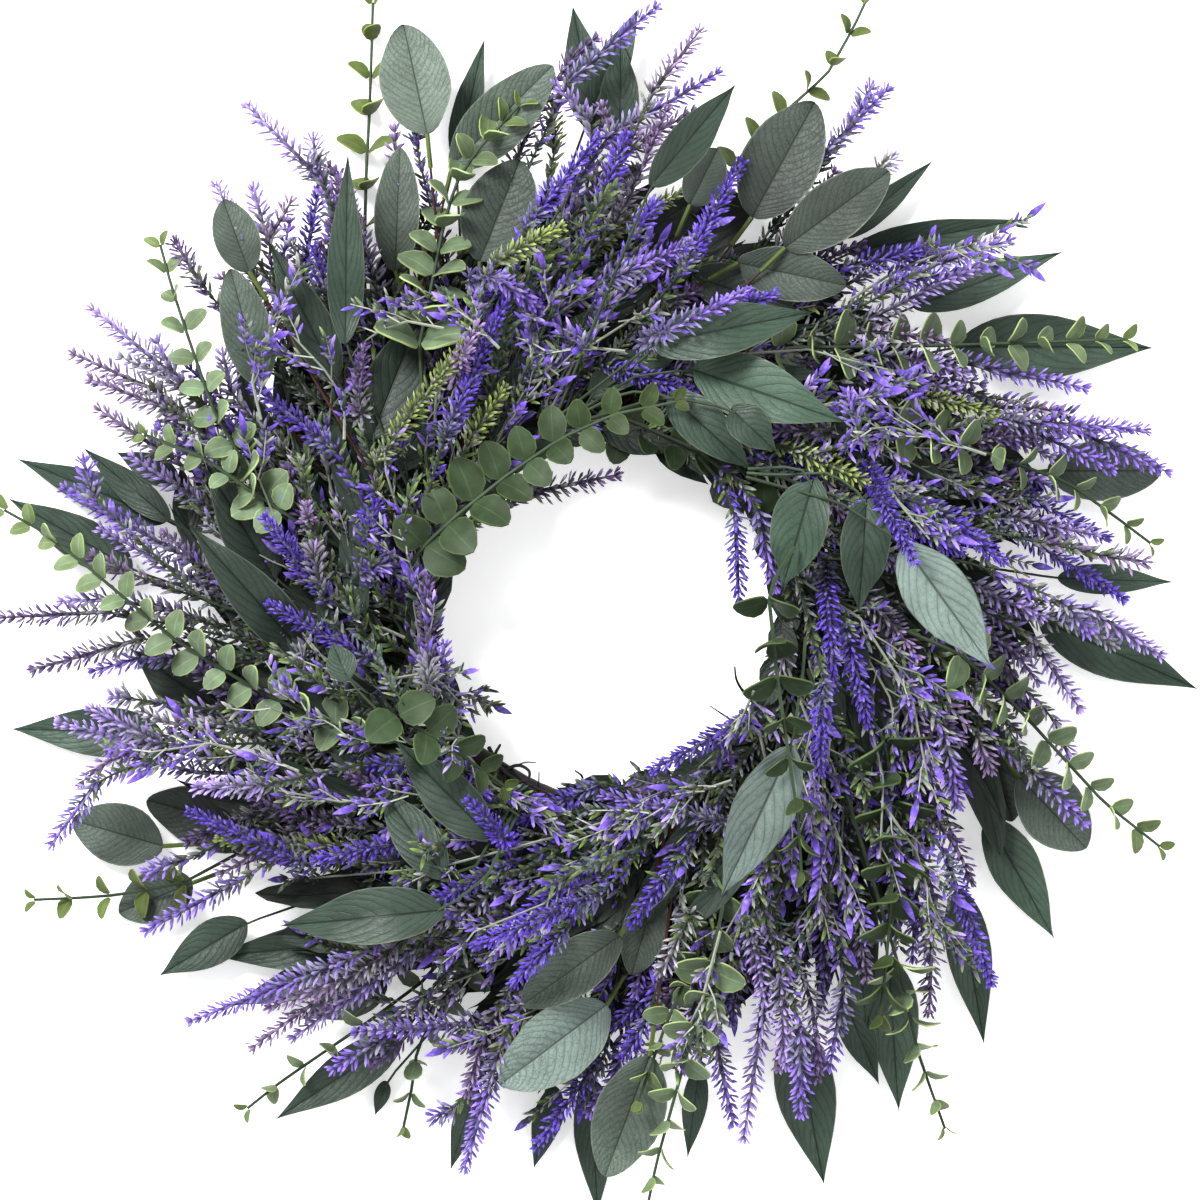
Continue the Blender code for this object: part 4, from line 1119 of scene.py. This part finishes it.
def put_leaflet(piece, form, place, grow, up, long, broad, tone, slot=0):
    """One small pointed leaf, its flat side turned up."""
    wide = unit(np.cross(grow, up))
    deep = np.cross(wide, grow)
    turned = np.array((wide * broad, deep * broad * 0.35, grow * long))
    piece.copy(form, place, turned, tone, slot)


def leaf_stem(piece, form, path, start, end, pitch, size, tones, draw, leaves=None):
    """Small pointed leaves in pairs along part of a stem, clear of the big leaves."""
    run = start
    while run < end:
        forward, side, up = path.axes(run)
        place = path.place(run)
        swing = draw.uniform(0, math.tau)
        for turn in (0, math.pi):
            around = math.cos(swing + turn) * side + math.sin(swing + turn) * up
            lean = math.radians(draw.uniform(28, 55))
            grow = unit(math.cos(lean) * forward + math.sin(lean) * around)
            long = size * draw.uniform(0.65, 1.15)
            tone = tinted(tones[draw.randrange(len(tones))], 1.0, draw, 0.25)
            if not (leaves and leaves.behind(place + grow * long)):
                put_leaflet(piece, form, place, grow, up, long, long * 0.27, tone)
        run += pitch * draw.uniform(0.7, 1.3)


def companion_head(piece, form, leaflet, leaves, path, foot_run, tint, draw):
    """A shorter, paler head that grows beside another, a little lower."""
    hand = draw.choice((-1, 1))
    aside = draw.uniform(6, 11) * MM
    first, last = 0.45 * foot_run, path.length * draw.uniform(0.7, 0.92)
    points = []
    for k in range(8):
        run = first + (last - first) * k / 7
        _, side, up = path.axes(run)
        grown = math.sin(min(k / 4, 1) * math.pi / 2)
        points.append(path.place(run) + hand * aside * grown * side - 5 * MM * grown * up)
    own_path = Path(leaves.pass_under(points))
    start = own_path.length * draw.uniform(0.3, 0.5)
    add_stem(piece, own_path, start + HEAD_FOOT, 0.6 * MM, draw)
    tones = (colour_of("flock") * 0.5, colour_of("fern") * 0.5, colour_of("lance"))
    leaf_stem(piece, leaflet, own_path, 2 * MM, start, 2.8 * MM, 7 * MM, tones, draw)
    choices = {"vivid": ("violet", "dusk", "violet"), "violet": ("lilac", "mauve", "dusk")}
    lavender_head(piece, form, own_path, start,
                  draw.choice(choices.get(tint, ("frost", "mauve", "lilac", "violet"))), draw)


def layer_of_heads(table, ties, slot_name, materials, form, leaflet, plain):
    """Every bunch of lavender of one layer, with more heads of the plain form if given."""
    leaves = Leaves()
    for name, (clock, rows) in table.items():
        draw = random.Random(name)
        tree = node_tree_of(name)
        root = on_ring(clock, ties)
        feet = [at(*row[:2]) for row in rows]
        start_z = tie_height(tree, root, feet)
        piece = Piece()
        for row, own_root, holds in bunch_plan(root, feet, rows):
            foot, tip = at(*row[:2]), at(*row[2:4])
            plan = [*stem_plan(own_root, foot, tip, holds), foot, tip]
            path, marks = read_path(tree, plan, start_z)
            foot_run = marks[-2]
            add_stem(piece, path, foot_run + HEAD_FOOT, settings().stem_radius, draw)
            lavender_head(piece, form, path, foot_run, row[4], draw)
            if plain:
                companion_head(piece, plain, leaflet, leaves, path, foot_run, row[4], draw)
            own, green, dark = colour_of(row[4]), colour_of("fern"), colour_of("lance")
            grey = colour_of("flock") * 0.5
            near = max(foot_run - LEAFY_RUN, BARE_FOOT)
            bright = ((green * 0.8, green * 0.5) if row[4] == "vivid" else (grey, green * 0.5))
            leaf_stem(piece, leaflet, path, near, foot_run + 4 * MM, 2.5 * MM, 7.5 * MM,
                      (*bright, own, own * 0.6), draw)
            leaf_stem(piece, leaflet, path, BARE_FOOT, near, 4.4 * MM, 7 * MM,
                      (grey * 0.6, green * 0.4, dark, dark * 0.6), draw)
        piece.finish(name + "_heads", materials, name, slot_name)


def layer_of_blades(table, ties, rises, kind, materials, blank):
    """Every spray of long or oval leaves of one layer."""
    long_leaf = kind == "lance"
    width_at, spread = (lance_width, LANCE_ROLL) if long_leaf else (oval_width, OVAL_ROLL)
    reach = 0 if long_leaf else OVAL_STALK
    for name, (clock, rows) in table.items():
        draw = random.Random(name)
        own_draw = random.Random(name + " finish")
        tree = node_tree_of(name)
        root = on_ring(clock, ties)
        feet = [at(*row[:2]) for row in rows]
        start_z = tie_height(tree, root, feet)
        piece = Piece()
        for row, own_root, holds in bunch_plan(root, feet, rows):
            if rises:
                # The frame's own source draws such a blade's rise before its roll.
                draw.uniform(-1, 1)
            roll = math.radians(draw.uniform(-spread, spread))
            foot, tip = at(*row[:2]), at(*row[2:4])
            plan = [*stem_plan(own_root, foot, tip, holds), foot, tip]
            path, marks = read_path(tree, plan, start_z)
            if reach:
                bare = [max(marks[-2] - reach * (1 - k / 3), 0) for k in range(4)]
                piece.stem([path.place(run) for run in bare], [1.2 * MM] * 4,
                           colour_of("lime") * 1.3, 1)
            add_stem(piece, path, marks[-2] + (3 * MM if not reach else -reach / 2),
                     settings().stem_radius, own_draw,
                     tone=colour_of("twig") if reach else None)
            own, amount = getattr(settings(), kind), row[5]
            if amount >= SILVERED:
                own, amount = settings().silver, amount / FULL_SILVER
            tone = tinted(own, amount, own_draw, 0.08)
            blade(piece, blank, path, marks[-2], row[4] * STEP / 2, width_at, tone,
                  own_draw, roll)
        piece.finish(name + "_leaves", materials, name, kind)


def sprig_leaves(piece, form, path, start, width, pitch, tint, facing, taper, draw):
    """Pairs of round leaves along a eucalyptus stem, smaller towards its tip."""
    own, fresh = colour_of(tint), colour_of("lime")
    length = path.length - start
    pairs = max(2, round(length / pitch))
    for k in range(pairs + 1):
        share = k / pairs
        run = min(start + share * length, path.length - 0.5 * MM)
        forward, side, up = path.axes(run)
        centre = path.place(run)
        size = width * (1.06 - taper * share) * draw.uniform(0.88, 1.1)
        if k == pairs:
            size *= 0.8
        swing = draw.uniform(-0.5, 0.5) + (0.9 if k % 2 else 0.0)
        swing *= min(facing + 0.2, 1.0)
        spread = math.radians(76 - 30 * share**2)
        tone = own * (1 - 0.7 * share**4) + fresh * share**4 * (0.4 if tint == "deep" else 1)
        for hand in (-1, 1):
            around = hand * math.cos(swing) * side + math.sin(swing) * hand * up
            grow = unit(math.sin(spread) * around + math.cos(spread) * forward + 0.22 * up)
            looks = up + facing * forward
            face = unit(looks - grow * np.dot(looks, grow))
            across = np.cross(grow, face)
            narrow = across * (1 - NARROWED * share)
            turned = np.array((narrow, grow, face)) * size * draw.uniform(0.92, 1.05)
            piece.copy(form, centre + around * 0.9 * MM, turned, tinted(tone, 1, draw, 0.15))


def layer_of_sprigs(table, ties, materials, form, closeness=0.6):
    """Every eucalyptus stem of one layer."""
    for name, (clock, rows) in table.items():
        draw = random.Random(name)
        tree = node_tree_of(name)
        root = on_ring(clock, ties)
        feet = [at(*row[3]) for row in rows]
        start_z = tie_height(tree, root, feet)
        piece = Piece()
        for row, own_root, holds in bunch_plan(root, feet, rows):
            width, pitch, tint, *places = row
            places = [at(*place) for place in places]
            length = sum(np.linalg.norm(b - a) for a, b in zip(places, places[1:]))
            pairs = max(2, round(length / (pitch * STEP * PAIR_THINNING)))
            stem = stem_plan(own_root, places[0], places[1], holds)
            plan = [*stem, *through(places, pairs + 1)]
            path, marks = read_path(tree, plan, start_z)
            start = marks[len(stem)]
            add_stem(piece, path, path.length, 1.25 * settings().stem_radius, draw)
            facing = FACE_ON.get(name, USUAL_FACING)
            taper = TAPERED.get(name, USUAL_TAPER)
            sprig_leaves(piece, form, path, start, width * STEP, pitch * STEP * closeness,
                         tint, facing, taper, draw)
        piece.finish(name + "_sprigs", materials, name, "eucalyptus")


def filler_plan(draw, clock, radius, turn, reach, low, high):
    """A free stem's places from the hoop, swept clockwise and outward."""
    points = []
    sway = draw.uniform(-1, 1)
    for k in range(19):
        share = k / 18
        angle = math.radians(clock + turn * share)
        run = radius + (reach - radius) * share**0.85
        run += 3 * MM * sway * math.sin(math.pi * share * 1.7)
        z = low + (high - low) * math.sin(min(share * 1.3, 1.0) * math.pi / 2)
        points.append(np.array((run * math.sin(angle), run * math.cos(angle), z)))
    return points


def around_hoop(count, draw):
    """Clock angles spread evenly round the hoop, with some chance."""
    return [(k + draw.uniform(-0.45, 0.45)) * 360 / count for k in range(count)]


def over_bare_hoop(clock, turn):
    """Whether a stem that turns so far from this clock angle hides the bare hoop."""
    return clock < BARE_HOOP[1] and clock + turn > BARE_HOOP[0]


def kept_or_spare(pieces, clock, hides):
    """The piece for a clock angle, or a spare one that isn't kept for what hides the hoop.

    A stem in the spare piece still takes its draws, so the others stay as they are.
    """
    return Piece() if hides else pieces[int(clock % 360 / 360 * len(pieces))]


class Leaves:
    """The leaves' solids, which free stems pass over or under."""

    def __init__(self):
        self.back = [node_tree_of(name) for table in (LANCE_BACK, OVAL_BACK)
                     for name in table]
        self.front = [node_tree_of(name) for table in
                      (LANCE_MIDDLE, LANCE_FRONT, OVAL_MIDDLE) for name in table]
        self.sprigs = [node_tree_of(name) for name in EUCALYPTUS_MIDDLE]

    def behind(self, point, clear=2 * MM):
        """Whether a small leaf at this point would lie over or in a leaf in front."""
        if any(low - clear < point[2] for tree in self.front
               for low, _ in slabs(tree, point[0], point[1])):
            return True
        return any(high < point[2] for tree in self.sprigs
                   for _, high in slabs(tree, point[0], point[1])[-1:])

    def pass_under(self, points, clear=8 * MM):
        """The points, moved under the front leaves that they would run through."""
        for point in points:
            for tree in self.front:
                for low, high in slabs(tree, point[0], point[1]):
                    if low - clear < point[2] < high + clear:
                        point[2] = low - clear
        return points

    def dodge(self, points):
        """The points, moved over the back leaves and under the ones in front."""
        clear = 6 * MM
        for point in points:
            for tree in self.back:
                for low, high in slabs(tree, point[0], point[1]):
                    if low - clear < point[2] < high + clear:
                        below = point[2] < (low + high) / 2
                        point[2] = low - clear if below else high + clear
            for tree in self.front:
                for low, high in slabs(tree, point[0], point[1]):
                    point[2] = min(point[2], low - clear)
            for tree in self.sprigs:
                for low, high in slabs(tree, point[0], point[1]):
                    point[2] = min(point[2], (low + high) / 2 - clear)
            point[2] = max(point[2], 2 * MM)
        return points


class WREATH_OT_undergrowth(bpy.types.Operator):
    """Make the near-black leaves that lie deepest, behind everything else, painted shade in the
    gaps
    """
    bl_idname = "wreath.undergrowth"
    bl_label = "Undergrowth"

    def execute(self, context):
        blank = blade_form(columns=4, rows=7)
        leaf = leaf_material("shaded leaf", roughness=0.6, rib_width=0.06, vein_count=9.0,
                             sweep=1.8, vein_dark=0.7, net=0.2,
                             edge_colour=(0.02, 0.03, 0.02, 1.0))
        materials = [leaf, stem_material()]
        draw = random.Random("undergrowth")
        pieces = [Piece() for _ in range(UNDERGROWTH_PIECES)]
        for level, count, reach in UNDERGROWTH:
            outer = reach > INNER_REACH
            for clock in around_hoop(count, draw):
                turn = draw.uniform(14, 34)
                spread = 1 if outer else 0.3
                tip = reach + spread * draw.uniform(-22, 18) * MM
                low = (level + draw.uniform(0, 4)) * MM
                foot = (draw.uniform(92, 112) if outer else draw.uniform(82, 90)) * MM
                points = filler_plan(draw, clock, foot, turn, tip,
                                     low, low + draw.uniform(-1, 3) * MM)
                path = Path(points)
                hides = not outer and over_bare_hoop(clock, turn)
                piece = kept_or_spare(pieces, clock, hides)
                start = path.length * draw.uniform(0.12, 0.3)
                add_stem(piece, path, start + 3 * MM, settings().stem_radius, draw)
                # Painted shade: these leaves take the near-black shade colour, so the gaps
                # between the foliage read as deep shadow.
                tone = tinted(settings().shade, draw.uniform(0.7, 1.5), draw)
                shape = draw.choice((lance_width, lance_width, oval_width))
                half = draw.uniform(8, 14) * MM * (1 if level < 38 and outer else 0.65)
                blade(piece, blank, path, start, half, shape, tone, draw,
                      math.radians(draw.uniform(-24, 24)))
        for number, piece in enumerate(pieces, 1):
            piece.finish(f"undergrowth_{number}", materials, None, "lance")
        return {"FINISHED"}


class WREATH_OT_filler(bpy.types.Operator):
    """Make the thin stems with small leaves that fill the space between the heads"""
    bl_idname = "wreath.filler"
    bl_label = "Filling greenery"

    def execute(self, context):
        bud, leaflet = bud_form(*SLIM_FLORET), bud_form(*SMALL_LEAF)
        self.petal = bud_form(*PURPLE_LEAFLET)
        materials = [floret_material(), stem_material()]
        draw = random.Random("filler")
        leaves = Leaves()
        pieces = [Piece() for _ in range(FILLER_PIECES)]
        for count, lows, highs, reaches in FILLING:
            inner = reaches[1] <= INNER_REACH
            for clock in around_hoop(count, draw):
                start = draw.uniform(84, 93) if inner else draw.uniform(86, 102)
                turn = draw.uniform(18, 42)
                points = filler_plan(draw, clock, start * MM, turn,
                                     draw.uniform(*reaches), draw.uniform(*lows) * MM,
                                     draw.uniform(*highs) * MM)
                path = Path(leaves.dodge(points))
                hides = inner and over_bare_hoop(clock, turn)
                piece = kept_or_spare(pieces, clock, hides)
                self.stem(piece, path, bud, leaflet, draw, leaves)
        for number, piece in enumerate(pieces, 1):
            piece.finish(f"filler_{number}", materials, None, "eucalyptus")
        self.top_sprays(bud, leaflet, materials, draw)
        return {"FINISHED"}

    def top_sprays(self, bud, leaflet, materials, draw):
        """The sprays that lie over the heads and leaves."""
        trees = [node_tree_of(name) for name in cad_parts]
        piece = Piece()
        for kind, table in (("flock", FLOCKED), ("fern", FERNY)):
            for places in table:
                self.stem(piece, self.over(trees, places), bud, leaflet, draw, None, kind)
        full = bud_form(*FULL_FLORET)
        for tint, *places in TOP_HEADS:
            path = self.over(trees, places)
            add_stem(piece, path, 6 * MM, settings().stem_radius, draw)
            lavender_head(piece, full, path, 3 * MM, tint, draw)
        piece.finish("top_sprays", materials, None, "eucalyptus")

    def over(self, trees, places):
        """A path through the places, over the highest solids there."""
        plan = through([at(*place) for place in places], 4 * len(places))
        tops = [self.top(trees, place) for place in plan]
        heights = [max(tops[max(k - 1, 0):k + 2]) for k in range(len(tops))]
        heights = np.convolve(np.pad(heights, 2, "edge"), np.ones(5) / 5, "valid")
        return Path(np.column_stack((np.array(plan), heights + LAID_ABOVE)))

    def top(self, trees, place):
        """The highest solid over a place."""
        levels = [tree.ray_cast(Vector((*place, CEILING)), Vector((0, 0, -1)))[0]
                  for tree in trees]
        return max([level.z for level in levels if level] + [LOWEST_TOP])

    def stem(self, piece, path, bud, leaflet, draw, leaves, kind=None):
        """One stem: flocked with purple leaflets, ferny, or a faded small head."""
        kind = kind or draw.choice(("flock", "flock", "flock", "fern", "faded", "faded"))
        if kind == "fern":
            self.ferny(piece, path, leaflet, draw, leaves)
        elif kind == "faded":
            self.faded(piece, path, bud, leaflet, draw, leaves)
        else:
            self.flocked(piece, path, leaflet, draw, leaves)

    def ferny(self, piece, path, leaflet, draw, leaves):
        """A green stem with small green leaves all along."""
        fern = colour_of("fern")
        add_stem(piece, path, path.length, 0.5 * MM, draw)
        leaf_stem(piece, leaflet, path, 6 * MM, path.length, 2.6 * MM, 9 * MM,
                  (fern, fern * 0.7, fern * 0.4, colour_of("lance")), draw, leaves=leaves)

    def faded(self, piece, path, bud, leaflet, draw, leaves):
        """A leafy stem that ends in a small faded head."""
        add_stem(piece, path, path.length * 0.75, 0.5 * MM, draw)
        head = path.length * draw.uniform(0.45, 0.65)
        tones = (colour_of("fern") * 0.5, colour_of("lance"), colour_of("flock") * 0.4)
        leaf_stem(piece, leaflet, path, 6 * MM, head, 3.4 * MM, 8 * MM, tones, draw,
                  leaves=leaves)
        tint = draw.choice(("mauve", "olive", "dusk", "frost", "lilac"))
        lavender_head(piece, bud, path, head, tint, draw)

    def flocked(self, piece, path, leaflet, draw, leaves):
        """A whitish stem with side twigs that carry purple and green leaves."""
        flock, fern, dark = colour_of("flock"), colour_of("fern"), colour_of("lance")
        petal, lilac = colour_of("petal"), colour_of("lilac")
        ends = [0.7 * MM, 0.6 * MM, 0.5 * MM, 0.4 * MM]
        runs = [path.length * k / 3 for k in range(4)]
        piece.stem([path.place(run) for run in runs], ends, flock * 0.8, 1, sides=4)
        run = 8 * MM
        while run < path.length:
            forward, side, up = path.axes(run)
            swing = draw.uniform(0, math.tau)
            around = unit(math.cos(swing) * side + math.sin(swing) * up)
            out = unit(forward + around * draw.uniform(0.5, 1.0))
            start = path.place(run)
            long = draw.uniform(10, 24) * MM
            out[2] *= TWIG_FLATTENED
            if start[2] + out[2] * long < FLOOR_GAP:
                out[2] = -out[2]
            twig = Path([start, start + out * long * 0.5,
                         start + out * long + forward * long * 0.25])
            run += draw.uniform(5, 10) * MM
            if leaves and leaves.behind(twig.points[-1]):
                continue
            piece.stem(twig.points, [0.45 * MM, 0.4 * MM, 0.3 * MM],
                       flock * draw.uniform(0.7, 1.1), 1, sides=3)
            tones = (petal, lilac, flock * 0.6, fern, fern * 0.5, dark, dark * 0.7)
            if path.points[-1][2] > RICH_LEVEL:
                tones = (petal, petal, petal, lilac, flock * 0.6, fern, dark)
            if draw.random() < 0.3:
                tone = tinted(petal * 1.2, 1.0, draw, 0.3)
                put_leaflet(piece, self.petal, twig.place(twig.length), out, up,
                            draw.uniform(11, 15) * MM, 3.6 * MM, tone)
            leaf_stem(piece, leaflet, twig, 0.3 * long, twig.length, 3.2 * MM, 8 * MM,
                      tones, draw, leaves=leaves)


class WREATH_OT_vines(bpy.types.Operator):
    """Make the hoop's three wound vines with their bark"""
    bl_idname = "wreath.vines"
    bl_label = "Vines"

    def execute(self, context):
        materials = [bark_material()]
        for index in range(VINE_COUNT):
            self.vine(index, materials)
        self.tendrils(materials)
        return {"FINISHED"}

    def vine(self, index, materials):
        """One vine, wound round the hoop's own line, with a slightly uneven girth."""
        draw = random.Random(f"vine {index}")
        piece = Piece()
        offset = math.tau * index / VINE_COUNT
        bumps = [draw.uniform(0.9, 1.0) for _ in range(VINE_STEPS + 1)]
        points, radii = [], []
        for k in range(VINE_STEPS + 1):
            around = offset + (math.tau - VINE_SPLICE) * k / VINE_STEPS
            wind = VINE_TURNS * around + offset
            radius = HOOP_RADIUS + VINE_WIND * math.cos(wind)
            z = VINE_WIND + VINE_RADIUS - PLANED + VINE_WIND * math.sin(wind)
            points.append((radius * math.sin(around), radius * math.cos(around), z))
            radii.append(VINE_RADIUS * bumps[k] * VINE_SLIMMER)
        piece.stem(points, radii, settings().bark, 0, sides=VINE_SIDES)
        piece.finish(f"vine_{index + 1}_bark", materials, f"vine_{index + 1}", "vine")

    def tendrils(self, materials):
        """Dry curled ends of the vines that stand out into the hole."""
        piece = Piece()
        for thick, places in TENDRILS:
            plan = through([at(*place) for place in places], 4 * len(places))
            rise = np.linspace(*TENDRIL_RISE, len(plan))
            points = np.column_stack((np.array(plan), rise))
            radii = np.linspace(thick * MM, 0.45 * thick * MM, len(plan))
            piece.stem(list(points), list(radii), colour_of("bark") * 0.6, 0, sides=6)
        piece.finish("vine_tendrils", materials, None, "vine")


class WREATH_OT_lavender(bpy.types.Operator):
    """Make every bunch of lavender, floret by floret"""
    bl_idname = "wreath.lavender"
    bl_label = "Lavender"

    def execute(self, context):
        form, leaflet = bud_form(*FULL_FLORET), bud_form(*SMALL_LEAF)
        plain = bud_form(*SLIM_FLORET)
        materials = [floret_material(), stem_material()]
        layer_of_heads(LAVENDER_BACK, MIDDLE_TIES, "lavender_back", materials, form,
                       leaflet, plain)
        layer_of_heads(LAVENDER_FRONT, FRONT_TIES, "lavender_front", materials, form,
                       leaflet, None)
        return {"FINISHED"}


class WREATH_OT_long_leaves(bpy.types.Operator):
    """Make the sprays of long pointed leaves"""
    bl_idname = "wreath.long_leaves"
    bl_label = "Long leaves"

    def execute(self, context):
        blank = blade_form(columns=8, rows=18)
        leaf = leaf_material("long leaf", roughness=0.5, rib_width=0.055, vein_count=12.0,
                             sweep=3.3, vein_dark=0.4, net=0.4,
                             edge_colour=(0.10, 0.12, 0.08, 1.0))
        materials = [leaf, stem_material()]
        layer_of_blades(LANCE_BACK, BACK_TIES, False, "lance", materials, blank)
        layer_of_blades(LANCE_MIDDLE, MIDDLE_TIES, True, "lance", materials, blank)
        layer_of_blades(LANCE_FRONT, FRONT_TIES, True, "lance", materials, blank)
        return {"FINISHED"}


class WREATH_OT_oval_leaves(bpy.types.Operator):
    """Make the sprays of oval leaves"""
    bl_idname = "wreath.oval_leaves"
    bl_label = "Oval leaves"

    def execute(self, context):
        blank = blade_form(columns=8, rows=16)
        leaf = leaf_material("oval leaf", roughness=0.58, rib_width=0.032, vein_count=21.0,
                             sweep=4.2, vein_dark=0.4, net=0.6,
                             edge_colour=(0.17, 0.20, 0.15, 1.0))
        materials = [leaf, stem_material()]
        layer_of_blades(OVAL_BACK, BACK_TIES, False, "oval", materials, blank)
        layer_of_blades(OVAL_MIDDLE, MIDDLE_TIES, True, "oval", materials, blank)
        return {"FINISHED"}


class WREATH_OT_eucalyptus(bpy.types.Operator):
    """Make the eucalyptus stems with their pairs of round leaves"""
    bl_idname = "wreath.eucalyptus"
    bl_label = "Eucalyptus"

    def execute(self, context):
        form = leaflet_form(blade_form(columns=4, rows=6))
        materials = [leaflet_material(), stem_material()]
        layer_of_sprigs(EUCALYPTUS_BACK, MIDDLE_TIES, materials, form, 0.8)
        layer_of_sprigs(EUCALYPTUS_MIDDLE, MIDDLE_TIES, materials, form)
        layer_of_sprigs(EUCALYPTUS_FRONT, FRONT_TIES, materials, form, 0.75)
        return {"FINISHED"}


class WREATH_OT_stage(bpy.types.Operator):
    """Make the pale floor, the soft lights and the camera"""
    bl_idname = "wreath.stage"
    bl_label = "Stage"

    def execute(self, context):
        self.floor(context)
        self.lights(context.scene)
        self.camera(context.scene)
        return {"FINISHED"}

    def floor(self, context):
        """A pale floor just below the wreath, which glows a little so that it stays pale."""
        bpy.ops.object.select_all(action="DESELECT")
        bpy.ops.mesh.primitive_plane_add(size=FLOOR_SIZE, location=(0, 0, -0.2 * MM))
        floor = context.active_object
        floor.name = "floor"
        made, _, shader = nodes_of("floor", 0.9)
        shader.inputs["Base Color"].default_value = (0.97, 0.97, 0.97, 1.0)
        shader.inputs["Emission Color"].default_value = (1.0, 1.0, 1.0, 1.0)
        shader.inputs["Emission Strength"].default_value = FLOOR_GLOW
        floor.data.materials.append(made)

    def lights(self, scene):
        """A white room and two soft lamps that point at the wreath."""
        world = bpy.data.worlds.new("room")
        scene.world = world
        world.use_nodes = True
        sky = world.node_tree.nodes["Background"]
        sky.inputs[0].default_value = (1.0, 1.0, 1.0, 1.0)
        sky.inputs[1].default_value = ROOM_LIGHT
        for name, place, size, power in LAMPS:
            light = bpy.data.lights.new(name, "AREA")
            light.size = size
            light.energy = power
            lamp = bpy.data.objects.new(name, light)
            scene.collection.objects.link(lamp)
            lamp.location = place
            lamp.rotation_euler = (-Vector(place)).to_track_quat("-Z", "Y").to_euler()

    def camera(self, scene):
        """A camera that looks straight down on the whole wreath."""
        lens = bpy.data.cameras.new("camera")
        camera = bpy.data.objects.new("camera", lens)
        scene.collection.objects.link(camera)
        middle = at(FACE_STEPS / 2, FACE_STEPS / 2)
        lens.sensor_width = 36.0
        lens.lens = lens.sensor_width * CAMERA_DISTANCE / SPAN
        lens.clip_end = 50
        camera.location = (middle[0], middle[1], CAMERA_LEVEL + CAMERA_DISTANCE)
        scene.camera = camera
        scene.view_settings.view_transform = "Standard"


class WREATH_PT_panel(bpy.types.Panel):
    """Lists the wreath's pieces and settings"""
    bl_label = "Lavender wreath"
    bl_space_type = "VIEW_3D"
    bl_region_type = "UI"
    bl_category = "Wreath"

    def draw(self, context):
        for made in PIECES:
            self.layout.operator(made.bl_idname)
        for name in WreathSettings.__annotations__:
            self.layout.prop(context.scene.wreath, name)


PIECES = (WREATH_OT_vines, WREATH_OT_undergrowth, WREATH_OT_filler, WREATH_OT_lavender,
          WREATH_OT_long_leaves, WREATH_OT_oval_leaves, WREATH_OT_eucalyptus, WREATH_OT_stage)
CLASSES = (WreathSettings, *PIECES, WREATH_PT_panel)


def register():
    for made in CLASSES:
        bpy.utils.register_class(made)
    bpy.types.Scene.wreath = PointerProperty(type=WreathSettings)


def unregister():
    del bpy.types.Scene.wreath
    for made in reversed(CLASSES):
        bpy.utils.unregister_class(made)


def main():
    register()
    bpy.ops.wreath.vines()
    bpy.ops.wreath.undergrowth()
    bpy.ops.wreath.filler()
    bpy.ops.wreath.lavender()
    bpy.ops.wreath.long_leaves()
    bpy.ops.wreath.oval_leaves()
    bpy.ops.wreath.eucalyptus()
    bpy.ops.wreath.stage()


if __name__ == "__main__":
    main()
